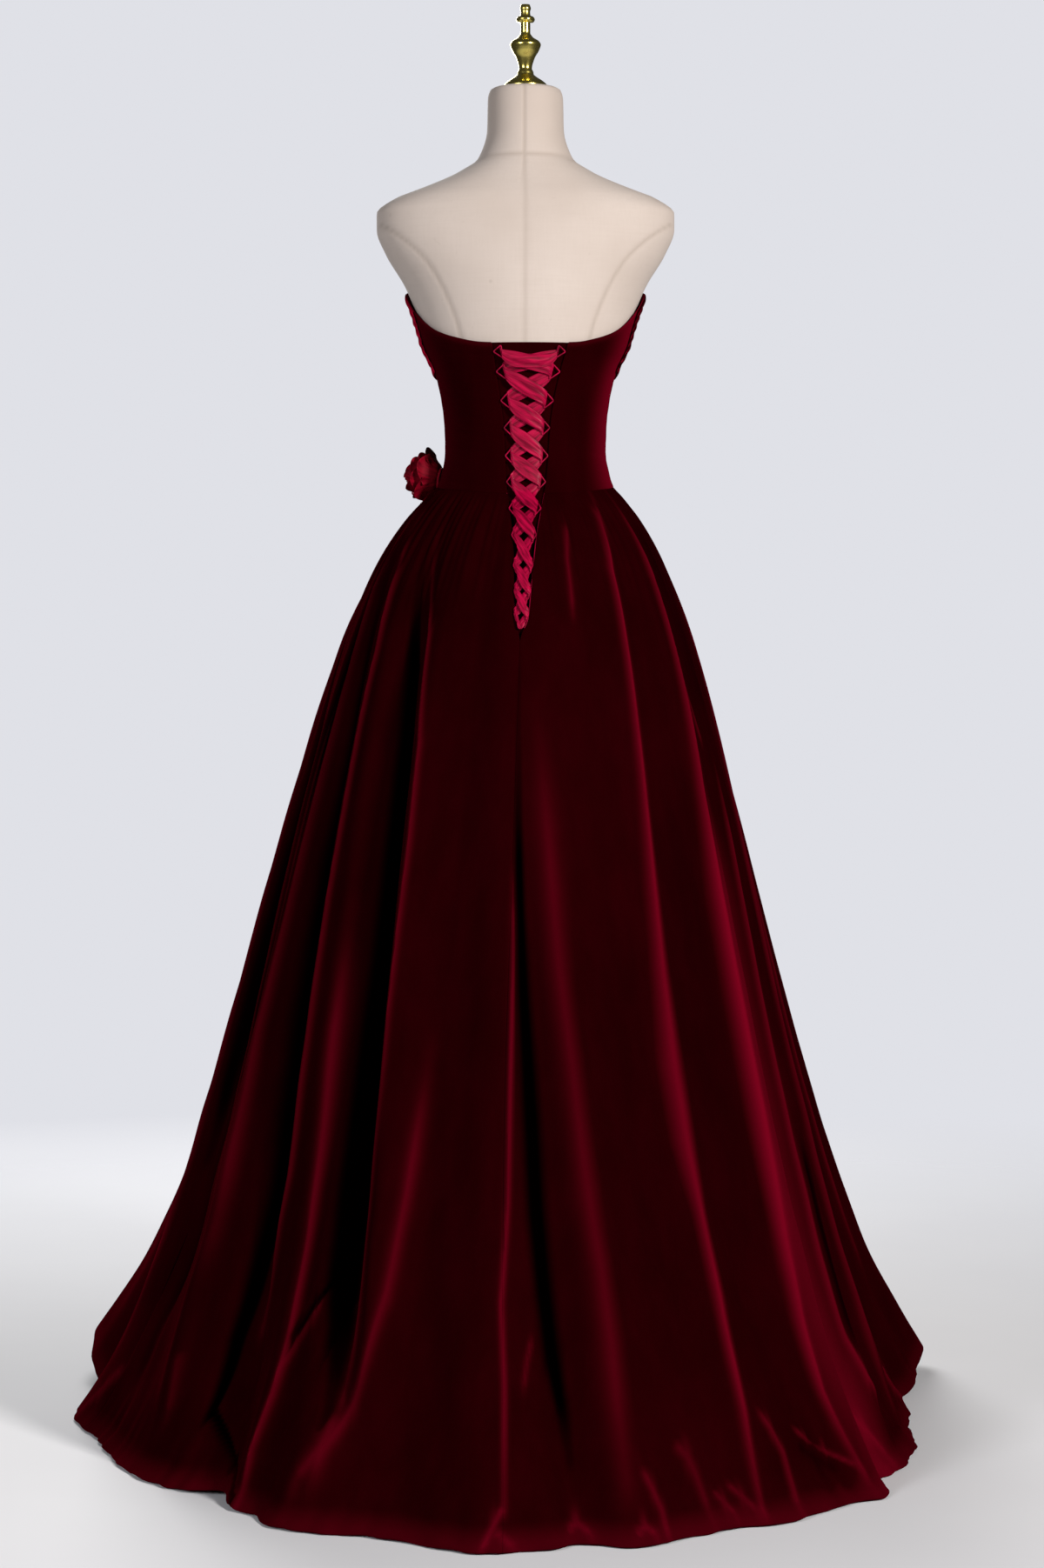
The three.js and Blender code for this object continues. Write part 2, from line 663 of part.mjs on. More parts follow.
/** The drape, from the points of the front panel that it covers: a ridge between each two of its rows. */
function bustDrape() {
  const layer = (lift, rise) => {
    const covered = frontGrid(lift).slice(FRONT.lowerRows);
    const raised = frontGrid(lift + rise).slice(FRONT.lowerRows);
    return covered.flatMap((row, r) => {
      if (r === covered.length - 1) return [row];
      const between = raised[r].map((point, c) => point.clone().lerp(raised[r + 1][c], 0.5));
      return [row, between];
    });
  };
  const inside = BODICE_OUT + DRAPE.gap;
  return wall(layer(inside + DRAPE.thick, DRAPE.rise), layer(inside, 0));
}

// ---------------------------------------------------------------- lacing

/** The panel behind the lacing: it laps under both edges, and lies deeper where the skirt stands off. */
function modestyPanel() {
  const [kink, foot] = [waistUp(0) + 1, V_TIP + 3];
  const heights = [
    ...shares(MODESTY.rows).map((share) => lerp(MODESTY.top, kink, share)),
    ...shares(MODESTY.lowerRows).slice(1).map((share) => lerp(kink, foot, share ** 1.5)),
  ];
  const grid = (deep) =>
    heights.map((up) => {
      const lift = deep - LACE.modestySink * (1 - smooth(up, kink - 68, kink - 4));
      const lap = lerp(MODESTY.lapAtFoot, MODESTY.lapAtTop, smooth(up, V_TIP, kink));
      const middle = along(OPENING, "up", "middle", up);
      const half = along(OPENING, "up", "half", up) + lap;
      return shares(MODESTY.columns).map((across) => backPoint(middle + lerp(-half, half, across), up, lift));
    });
  return wall(grid(LACE.modestyOut), grid(LACE.modestyIn));
}

/** The point on the opening's edge at a height: side is 1 towards -X. */
function openingX(side, up, inset) {
  return along(OPENING, "up", "middle", up) - side * (along(OPENING, "up", "half", up) - inset);
}

/** A flat geometry in across and height, thickened and laid on the back at a lift. */
function laidOnBack(shape, lift, thick) {
  const flat = new THREE.ExtrudeGeometry(shape, { depth: thick, bevelEnabled: false });
  flat.deleteAttribute("normal");
  flat.deleteAttribute("uv");
  const merged = mergeVertices(flat, 1e-4);
  const { position } = merged.attributes;
  const points = Array.from({ length: position.count }, (_, i) =>
    backPoint(position.getX(i), position.getY(i), lift - thick / 2 + position.getZ(i)),
  );
  const corners = [...merged.index.array];
  const faces = Array.from({ length: corners.length / 3 }, (_, i) => corners.slice(3 * i, 3 * i + 3));
  return closed(points, faces);
}

/** The piping down one edge of the opening with its three-cornered loops, as one piece. */
function lacingEdge(side) {
  const spot = (up, inset) => new THREE.Vector2(openingX(side, up, LACE.inset + inset), up);
  const [top, foot, steps] = [1386, V_TIP + 14, 22];
  const rootHalf = 2.6; // half of a loop's height where it leaves the piping
  const shape = new THREE.Shape(shares(steps).map((share) => spot(lerp(top, foot, share), 0)));
  const climb = [spot(foot, LACE.cordWide)];
  for (const { up, reach, tall } of [...LOOPS].reverse()) {
    climb.push(spot(up - tall / 2 - 4, LACE.cordWide));
    climb.push(spot(up - rootHalf, LACE.cordWide), spot(up - tall / 2, reach));
    climb.push(spot(up + tall / 2, reach), spot(up + rootHalf, LACE.cordWide));
  }
  climb.push(spot(top, LACE.cordWide));
  climb.forEach((point) => shape.lineTo(point.x, point.y));
  shape.holes = LOOPS.map(({ up, reach, tall }) => {
    const bar = reach - LACE.cordWide;
    const half = tall / 2 - LACE.loopWall;
    return new THREE.Path([spot(up, LACE.cordWide), spot(up + half, bar), spot(up - half, bar)]);
  });
  return laidOnBack(shape, LACE.bar, LACE.cordThick);
}

/** The middle of the bar of a loop that the ribbon turns round: across, height, and its lean. */
function loopBar(side, index) {
  const { up, reach } = LOOPS[index];
  const inset = LACE.inset + reach - LACE.cordWide / 2;
  const step = 4;
  const lean = (openingX(side, up + step, inset) - openingX(side, up - step, inset)) / (2 * step);
  return { x: openingX(side, up, inset), up, lean };
}

/** A ribbon swept along stations, each with its place, lift and width. */
function ribbon(stations) {
  const points = stations.map(({ x, up, lift }) => backPoint(x, up, lift));
  const step = 4;
  const sections = points.map((point, i) => {
    const next = points[Math.min(points.length - 1, i + 1)];
    const ahead = next.clone().sub(points[Math.max(0, i - 1)]).normalize();
    const { x, up, lift, lean = 0 } = stations[i];
    const [above, below] = [
      backPoint(x + step * lean, up + step, lift),
      backPoint(x - step * lean, up - step, lift),
    ];
    const upright = above.sub(below).normalize();
    const across = upright.addScaledVector(ahead, -upright.dot(ahead)).normalize();
    const normal = ahead.clone().cross(across).multiplyScalar(LACE.ribbonThick / 2);
    across.multiplyScalar(stations[i].wide / 2);
    return [
      point.clone().add(across).add(normal),
      point.clone().sub(across).add(normal),
      point.clone().sub(across).sub(normal),
      point.clone().add(across).sub(normal),
    ];
  });
  return loft(sections);
}

/** The stations of one ribbon end's way down through the loops, starting at one side of the top pair. */
function zigzag(firstSide) {
  const stations = [];
  const out = (LACE.cordWide + LACE.ribbonThick) / 2 + LACE.clearance;
  const foot = { x: along(OPENING, "up", "middle", V_TIP), up: V_TIP + 17 };
  LOOPS.forEach((loop, i) => {
    const side = i % 2 ? -firstSide : firstSide;
    const here = loopBar(side, i);
    // Inside a loop the ribbon is bunched to fit the three-cornered hole.
    const hole = { tall: loop.tall - 2 * LACE.loopWall, deep: loop.reach - 2 * LACE.cordWide };
    const narrowing = 1 - (out + (LACE.ribbonThick - LACE.cordWide) / 2) / hole.deep;
    const bunched = 0.75 * hole.tall * narrowing;
    // The strips that run down towards -X lie in front, so a turn at -X goes from front to back.
    const [before, after] = side > 0 ? [LACE.over, LACE.under] : [LACE.under, LACE.over];
    const turning = [
      { off: -1.5, drop: -0.5, lift: before },
      { off: out * 0.75, drop: -0.2, lift: lerp(before, LACE.bar, 0.25) },
      { off: out, drop: 0, lift: LACE.bar },
      { off: out * 0.75, drop: 0.2, lift: lerp(after, LACE.bar, 0.25) },
      { off: -1.5, drop: 0.5, lift: after },
    ];
    for (const { off, drop, lift } of i ? turning : turning.slice(1)) {
      stations.push({ x: here.x - side * off, up: here.up - drop, lift, wide: bunched, lean: here.lean });
    }
    const next = LOOPS[i + 1];
    const there = next ? loopBar(-side, i + 1) : { ...foot, x: foot.x + side };
    const slope = Math.cos(Math.atan2(here.up - there.up, Math.abs(here.x - there.x)));
    const wide = Math.min(LACE.ribbonWide, 0.92 * (here.up - there.up) * slope);
    for (const share of [0.2, 0.5, 0.8]) {
      const full = share === 0.5 ? 1 : 0.9;
      stations.push({
        x: lerp(here.x, there.x, share),
        up: lerp(here.up, there.up, share),
        lift: after,
        wide: Math.max(wide * full, LACE.ribbonTail),
      });
    }
    if (!next) stations.push({ ...there, lift: after, wide: LACE.ribbonTail });
  });
  return stations;
}

/** The strip across the top, from the first loop of one side to that of the other, over the others. */
function topStrip() {
  const [left, right] = [loopBar(-1, 0), loopBar(1, 0)];
  return ribbon(
    shares(8).map((share) => {
      const end = Math.abs(share - 0.5) * 2;
      return {
        x: lerp(left.x, right.x, share),
        up: LACE.topUp + LACE.topRise * end ** 3,
        lift: LACE.top,
        wide: lerp(LACE.topWide, LACE.topEndWide, end ** 4),
      };
    }),
  );
}

// ---------------------------------------------------------------- skirt

/** A panel of the skirt's wall between two edge angles, which may change on the way down. */
function skirtPanel(from, to, columns) {
  const grid = (depth) =>
    SKIRT_ROWS.map((down) =>
      shares(columns).map((across) => {
        const angle = lerp(from(down), to(down), across);
        const point = skirtPoint(angle, down).addScaledVector(skirtNormal(angle, down), -depth);
        point.z = Math.max(point.z, SEAM_GAP);
        return point;
      }),
    );
  return wall(grid(0), grid(CLOTH));
}

/** Half a seam gap as an angle at the skirt's surface. */
function seamAngle(angle, down) {
  const point = skirtPoint(angle, down);
  return THREE.MathUtils.radToDeg(SEAM_GAP / 2 / Math.hypot(point.x, point.y));
}

/** One back panel of the skirt, from the laced opening and the centre-back seam to the side seam. */
function skirtBack(side) {
  return skirtPanel(
    (down) => backEdge(side, down),
    (down) => side * (SKIRT_SEAM - seamAngle(side * SKIRT_SEAM, down)),
    BACK_COLUMNS,
  );
}

/** The front panel of the skirt, from side seam to side seam. */
function skirtFront() {
  return skirtPanel(
    (down) => SKIRT_SEAM + seamAngle(SKIRT_SEAM, down),
    (down) => 360 - SKIRT_SEAM - seamAngle(-SKIRT_SEAM, down),
    FRONT_COLUMNS,
  );
}

// ---------------------------------------------------------------- rose

/** One petal: a patch of a cup round the rose's own +Z axis, cut off at its foot and curled at its lip. */
function petal({ start, sweep, foot, reach, lip, curl }) {
  const place = (around, share, thick) => {
    const angle = radians(start + sweep * around);
    const arch = 1 - 0.35 * (2 * around - 1) ** 2;
    const out = lerp(foot, lip, share ** 0.7) + curl * share ** 4 - thick;
    const up = reach * share * arch;
    return new THREE.Vector3(out * Math.cos(angle), out * Math.sin(angle), 2 + up);
  };
  const grid = (thick) => shares(2).map((share) => shares(3).map((around) => place(around, share, thick)));
  return wall(grid(0), grid(ROSE.petal));
}

/** The rose on the waist: three rings of petals round a bud, turned to lean up and out from the form. */
function rose() {
  const rings = [
    { petals: 5, foot: 15, lip: ROSE.radius * 0.82, reach: ROSE.depth * 0.52, curl: 7, shift: 0 },
    { petals: 3, foot: 12, lip: ROSE.radius * 0.6, reach: ROSE.depth * 0.76, curl: 4, shift: 40 },
    { petals: 2, foot: 9, lip: ROSE.radius * 0.4, reach: ROSE.depth * 0.92, curl: 2, shift: 10 },
  ];
  const petals = rings.flatMap(({ petals: count, foot, lip, reach, curl, shift }) =>
    Array.from({ length: count }, (_, i) => {
      const sweep = (360 / count) * ROSE.lap;
      return petal({ start: shift + (360 / count) * i, sweep, foot, lip: lip + (i % 2) * 2, reach, curl });
    }),
  );
  const bud = turned(
    [
      { up: 0, out: ROSE.footRadius },
      { up: 4, out: ROSE.footRadius },
      { up: 6, out: ROSE.budRadius + 0.5 },
      { up: ROSE.depth * 0.7, out: ROSE.budRadius },
      { up: ROSE.depth, out: 3 },
    ],
    12,
  );
  const bloom = united([bud, ...petals]);
  const seat = formPoint(ROSE.angle, ROSE.height, BODICE_OUT + ROSE.standOff);
  const outward = seat.clone().setZ(0).normalize();
  outward.z = Math.tan(radians(ROSE.lean));
  const turnTo = new THREE.Quaternion().setFromUnitVectors(new THREE.Vector3(0, 0, 1), outward.normalize());
  bloom.applyQuaternion(turnTo);
  bloom.translate(seat.x, seat.y, seat.z);
  return bloom;
}

// ---------------------------------------------------------------- the part

add("form_torso", torso(), linen);
add("form_finial", finial(), brass);
add("stand_pole", pole(), iron);
add("stand_base", base(), iron);
add("bodice_back_right", bodiceBack(1), velvet);
add("bodice_back_left", bodiceBack(-1), velvet);
add("bodice_front", bodiceFront(), velvet);
add("bust_drape", bustDrape(), velvet);
add("modesty_panel", modestyPanel(), velvet);
add("lacing_edge_right", lacingEdge(1), satin);
add("lacing_edge_left", lacingEdge(-1), satin);
add("lacing_ribbon_from_left", ribbon(zigzag(-1)), satin);
add("lacing_ribbon_from_right", ribbon(zigzag(1)), satin);
add("lacing_ribbon_top", topStrip(), satin);
add("skirt_back_right", skirtBack(1), velvet);
add("skirt_back_left", skirtBack(-1), velvet);
add("skirt_front", skirtFront(), velvet);
add("waist_rose", rose(), satin);

export default group;
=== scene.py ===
"""A strapless velvet prom dress with a laced back, on a limbless dress form.

The sizes are millimetres in the tables and metres in the meshes. +Z is up and the wearer faces -Y.
A compass angle runs round the upright axis: 0 is the centre back (+Y), and it grows towards -X.
"""

from __future__ import annotations

import logging
import math
from dataclasses import dataclass, field
from enum import Enum

import bpy
import numpy as np
from bpy.types import Material, Node, NodeSocket, NodeTree, Object
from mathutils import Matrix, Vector

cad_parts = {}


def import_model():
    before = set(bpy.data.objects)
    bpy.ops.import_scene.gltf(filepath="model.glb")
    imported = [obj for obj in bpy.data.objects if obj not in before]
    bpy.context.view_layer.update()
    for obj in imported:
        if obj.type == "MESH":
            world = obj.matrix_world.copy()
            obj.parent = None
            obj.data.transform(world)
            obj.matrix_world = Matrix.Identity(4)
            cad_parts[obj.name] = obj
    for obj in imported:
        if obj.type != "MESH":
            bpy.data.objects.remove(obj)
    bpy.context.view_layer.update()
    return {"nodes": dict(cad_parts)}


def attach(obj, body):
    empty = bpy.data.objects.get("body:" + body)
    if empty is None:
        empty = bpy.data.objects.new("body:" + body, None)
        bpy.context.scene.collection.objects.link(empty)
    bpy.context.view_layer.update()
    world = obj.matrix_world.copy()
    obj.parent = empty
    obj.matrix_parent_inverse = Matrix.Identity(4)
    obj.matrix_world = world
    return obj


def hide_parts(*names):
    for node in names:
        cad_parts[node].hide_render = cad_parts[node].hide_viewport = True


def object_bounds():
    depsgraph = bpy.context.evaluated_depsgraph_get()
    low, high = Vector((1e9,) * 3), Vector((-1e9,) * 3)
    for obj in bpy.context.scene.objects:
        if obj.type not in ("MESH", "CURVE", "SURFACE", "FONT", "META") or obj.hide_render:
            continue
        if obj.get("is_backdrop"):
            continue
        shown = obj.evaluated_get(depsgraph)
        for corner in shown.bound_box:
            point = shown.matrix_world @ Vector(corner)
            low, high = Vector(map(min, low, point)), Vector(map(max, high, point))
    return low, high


LOG = logging.getLogger("prom_dress")
MM = 0.001
Places = np.ndarray | float
Colour = tuple[float, float, float, float]
Triple = tuple[float, float, float]


class Slot(Enum):
    """The material slots."""

    VELVET = "velvet"
    RIBBON = "satin_ribbon"
    ROSE = "rose_satin"
    LINEN = "form_linen"
    BRASS = "brass"
    IRON = "stand_iron"


# ---------------------------------------------------------------- small maths


@dataclass(frozen=True)
class Curve:
    """A smooth line through a table's points that never overshoots them."""

    rows: tuple[tuple[float, float], ...]

    def at(self, where: Places) -> np.ndarray:
        """The curve's height.

        Args:
            where: One place or many along the table's first column.

        Returns:
            The second column's value at each place.
        """
        x = np.array([row[0] for row in self.rows], float)
        y = np.array([row[1] for row in self.rows], float)
        step = np.diff(x)
        rise = np.diff(y) / step
        slope = np.zeros(len(x))
        slope[0], slope[-1] = rise[0], rise[-1]
        product = rise[:-1] * rise[1:]
        total = rise[:-1] + rise[1:]
        safe = np.where(np.abs(total) < 1e-12, 1.0, total)
        slope[1:-1] = np.where(product > 0, 2 * product / safe, 0.0)
        place = np.clip(np.asarray(where, float), x[0], x[-1])
        i = np.clip(np.searchsorted(x, place, "right") - 1, 0, len(x) - 2)
        t = (place - x[i]) / step[i]
        t2, t3 = t * t, t * t * t
        return (
            (2 * t3 - 3 * t2 + 1) * y[i]
            + (t3 - 2 * t2 + t) * step[i] * slope[i]
            + (3 * t2 - 2 * t3) * y[i + 1]
            + (t3 - t2) * step[i] * slope[i + 1]
        )


def turn(start: Places, end: Places) -> np.ndarray:
    """The difference of two compass angles, from -180 to 180."""
    return (np.asarray(end) - start + 180) % 360 - 180


def smooth(where: Places, low: float, high: float) -> np.ndarray:
    """A soft step from 0 below low to 1 above high."""
    t = np.clip((np.asarray(where, float) - low) / (high - low), 0, 1)
    return t * t * (3 - 2 * t)


def lerp(a: Places, b: Places, t: Places) -> np.ndarray:
    """The value a share t of the way from a to b."""
    return a + (b - a) * np.asarray(t)


def hump(gap: Places, wide: Places, sharp: float = 2) -> np.ndarray:
    """A soft hump: 1 where the gap is 0, fading over the width."""
    return np.exp(-((gap / wide) ** sharp))


def grid(rows: np.ndarray | int, columns: np.ndarray | int) -> tuple[np.ndarray, ...]:
    """Two tables over rows and columns; a count stands for that many even shares from 0 to 1."""
    ways = (np.linspace(0, 1, way) if isinstance(way, int) else way for way in (rows, columns))
    return np.meshgrid(*ways, indexing="ij")


def ripple(where: np.ndarray, seed: int, low: float, high: float, waves: int = 9) -> np.ndarray:
    """An uneven wave, the same on every run.

    Args:
        where: Places in degrees round the axis.
        seed: Which of the many waves.
        low: Fewest waves in a full turn.
        high: Most waves in a full turn.
        waves: How many plain waves are added.

    Returns:
        Heights of about -1 to 1.
    """
    rng = np.random.default_rng(seed)
    total = np.zeros_like(np.asarray(where, float))
    for _ in range(waves):
        count, start = round(rng.uniform(low, high)), rng.uniform(0, 2 * math.pi)
        total += np.sin(np.radians(where) * count + start) / math.sqrt(waves) * rng.uniform(0.5, 1.2)
    return total


# ---------------------------------------------------------------- the dress form's surface


@dataclass(frozen=True)
class FormSurface:
    """The surface of the dress form and of what lies close on it."""

    side: Curve = Curve((
        (990, 118), (1012, 131), (1080, 136), (1150, 125), (1205, 109.6), (1222, 104), (1255, 98), (1289, 99),
        (1322, 103), (1356, 111.2), (1389, 126.6), (1406, 131.5), (1444, 144), (1467, 154), (1509, 179),
        (1539, 190), (1560, 190), (1578, 168), (1589, 140), (1600, 112), (1611, 88), (1631, 60), (1667, 49),
        (1706, 48), (1717, 45), (1720, 40),
    ))
    back: Curve = Curve((
        (990, 92), (1012, 103), (1080, 108), (1150, 98), (1205, 86), (1222, 83), (1255, 79), (1289, 80),
        (1322, 83), (1356, 87), (1389, 91), (1406, 93), (1444, 96), (1467, 97), (1509, 97), (1539, 94),
        (1560, 89), (1578, 84), (1589, 79), (1600, 74), (1611, 69), (1631, 61), (1667, 54), (1706, 50),
        (1717, 47), (1720, 42),
    ))
    fore: Curve = Curve((
        (990, 84), (1012, 94), (1080, 98), (1150, 95), (1205, 89), (1222, 86), (1255, 83), (1289, 85),
        (1322, 91), (1356, 99), (1389, 106), (1406, 107), (1444, 104), (1467, 99), (1509, 88), (1539, 78),
        (1560, 71), (1578, 65), (1589, 61), (1600, 57), (1611, 54), (1631, 50), (1667, 48), (1706, 47),
        (1717, 44), (1720, 39),
    ))
    # The bust: how far it stands out, at what height and how tall, how far from the front and how wide.
    mound_rise: float = 20.0
    mound_up: float = 1402.0
    mound_tall: float = 44.0
    mound_out: float = 33.0
    mound_wide: float = 21.0
    bodice_out: float = 4.6
    waist_high: float = 1219.0
    waist_dip: float = 21.0
    waist_sink: float = 1.5

    def depth(self, cosine: np.ndarray, up: np.ndarray) -> np.ndarray:
        """How deep the section is, back or front, at a height."""
        return np.where(cosine > 0, self.back.at(up), self.fore.at(up))

    def point(self, angle: np.ndarray, up: np.ndarray, lift: Places) -> np.ndarray:
        """Points at a lift off the form.

        Args:
            angle: Angles of the section's ellipse, 0 at the centre back.
            up: Heights.
            lift: Distances off the form.

        Returns:
            The points, with a last axis of x, y and z.
        """
        angle, up = np.broadcast_arrays(np.asarray(angle, float), np.asarray(up, float))
        a = np.radians(angle)
        side, depth = self.side.at(up), self.depth(np.cos(a), up)
        nx, ny = -np.sin(a) * depth, np.cos(a) * side
        size = np.hypot(nx, ny)
        from_front = 180 - np.abs(turn(0, angle))
        mound = self.mound_rise * hump(from_front - self.mound_out, self.mound_wide)
        mound = mound * hump(up - self.mound_up, self.mound_tall)
        off = lift + mound
        return np.stack([-side * np.sin(a) + nx / size * off, depth * np.cos(a) + ny / size * off, up], -1)

    def waist_up(self, compass: Places) -> np.ndarray:
        """Height of the waist seam at a compass angle."""
        return self.waist_high - self.waist_dip * ((1 + np.cos(np.radians(compass))) / 2) ** self.waist_sink

    def compass_of(self, angle: np.ndarray) -> np.ndarray:
        """The compass angle of a place at the waist whose ellipse angle is given."""
        point = self.point(angle, self.waist_high - self.waist_dip / 2, self.bodice_out)
        return np.degrees(np.arctan2(-point[..., 0], point[..., 1]))


FORM = FormSurface()


# ---------------------------------------------------------------- the laced opening


@dataclass(frozen=True)
class Opening:
    """The laced opening, and the surface that the lacing lies on."""

    tip: float = 1015.0
    middle: Curve = Curve((
        (1005, 7.6), (1015, 7.4), (1042, 5.5), (1075, 4), (1107, 3), (1145, 2), (1179, 0.8), (1213, -0.6),
        (1246, -1.4), (1281, -1.7), (1315, -2), (1352, -3.3), (1384, -5.4), (1400, -6),
    ))
    half: Curve = Curve((
        (1005, 0.15), (1015, 0.5), (1042, 8.2), (1075, 10), (1107, 12), (1145, 15.2), (1179, 20),
        (1213, 24.6), (1246, 27), (1281, 29), (1315, 33.4), (1352, 40.4), (1384, 47), (1400, 50),
    ))

    def edge(self, side: int, up: Places, inset: float) -> np.ndarray:
        """How far across the opening's edge lies at a height; side is 1 towards -X."""
        return self.middle.at(up) - side * (self.half.at(up) - inset)

    def depth(self, x: np.ndarray, up: np.ndarray) -> np.ndarray:
        """How far back the dress's outside lies: the bodice above the waist seam, the skirt below it."""
        seam = float(FORM.waist_up(0.0))
        side = FORM.side.at(up) + FORM.bodice_out
        bodice = (FORM.back.at(up) + FORM.bodice_out) * np.sqrt(np.maximum(0.05, 1 - (x / side) ** 2))
        down = np.clip((seam - up) / seam, 0, 1)
        centre = SKIRT.plain_out(np.zeros_like(down), down)
        skirt = np.sqrt(np.maximum(1.0, centre**2 - x**2))
        return np.where(up >= seam, bodice, skirt)

    def point(self, x: np.ndarray, up: np.ndarray, lift: Places) -> np.ndarray:
        """Points on the back.

        Args:
            x: Places across.
            up: Heights.
            lift: Lift off the form, or what would be that lift where the skirt stands off it.

        Returns:
            The points, with a last axis of x, y and z.
        """
        x, up, lift = np.broadcast_arrays(*(np.asarray(part, float) for part in (x, up, lift)))
        seam, step = float(FORM.waist_up(0.0)), 12.0
        low = np.where(up >= seam, up, up - step)
        slope = (self.depth(x, low) - self.depth(x, low + step)) / step
        return np.stack([x, self.depth(x, up) + (lift - FORM.bodice_out) * np.hypot(1, slope), up], -1)


# ---------------------------------------------------------------- the skirt's surface


@dataclass(frozen=True)
class Fold:
    """A large fold.

    Compass angles at the waist, the bend and the hem; shares of the way down where it starts, is full and
    ends; its height, and its spreads before and after its middle.
    """

    waist: float
    half: float
    hem: float
    start: float
    full: float
    end: float
    high: float
    before: float
    after: float
    bend: float = 0.45

    def angle(self, down: np.ndarray) -> np.ndarray:
        """Where the fold lies at each share of the way down."""
        upper = lerp(self.waist, self.half, np.sqrt(np.clip(down / self.bend, 0, 1)))
        lower = lerp(self.half, self.hem, np.clip((down - self.bend) / (1 - self.bend), 0, 1))
        return np.where(down < self.bend, upper, lower)


@dataclass(frozen=True)
class Crease:
    """A ridge, or with a negative height a trough, along places of angle, share down and half width.

    Besides its height it carries painted light: a painted highlight along it where its light value is above
    0, and painted shade where that is below 0.
    """

    path: tuple[tuple[float, float, float], ...]
    high: float
    painted_light: float
    sharp: float = 1.6


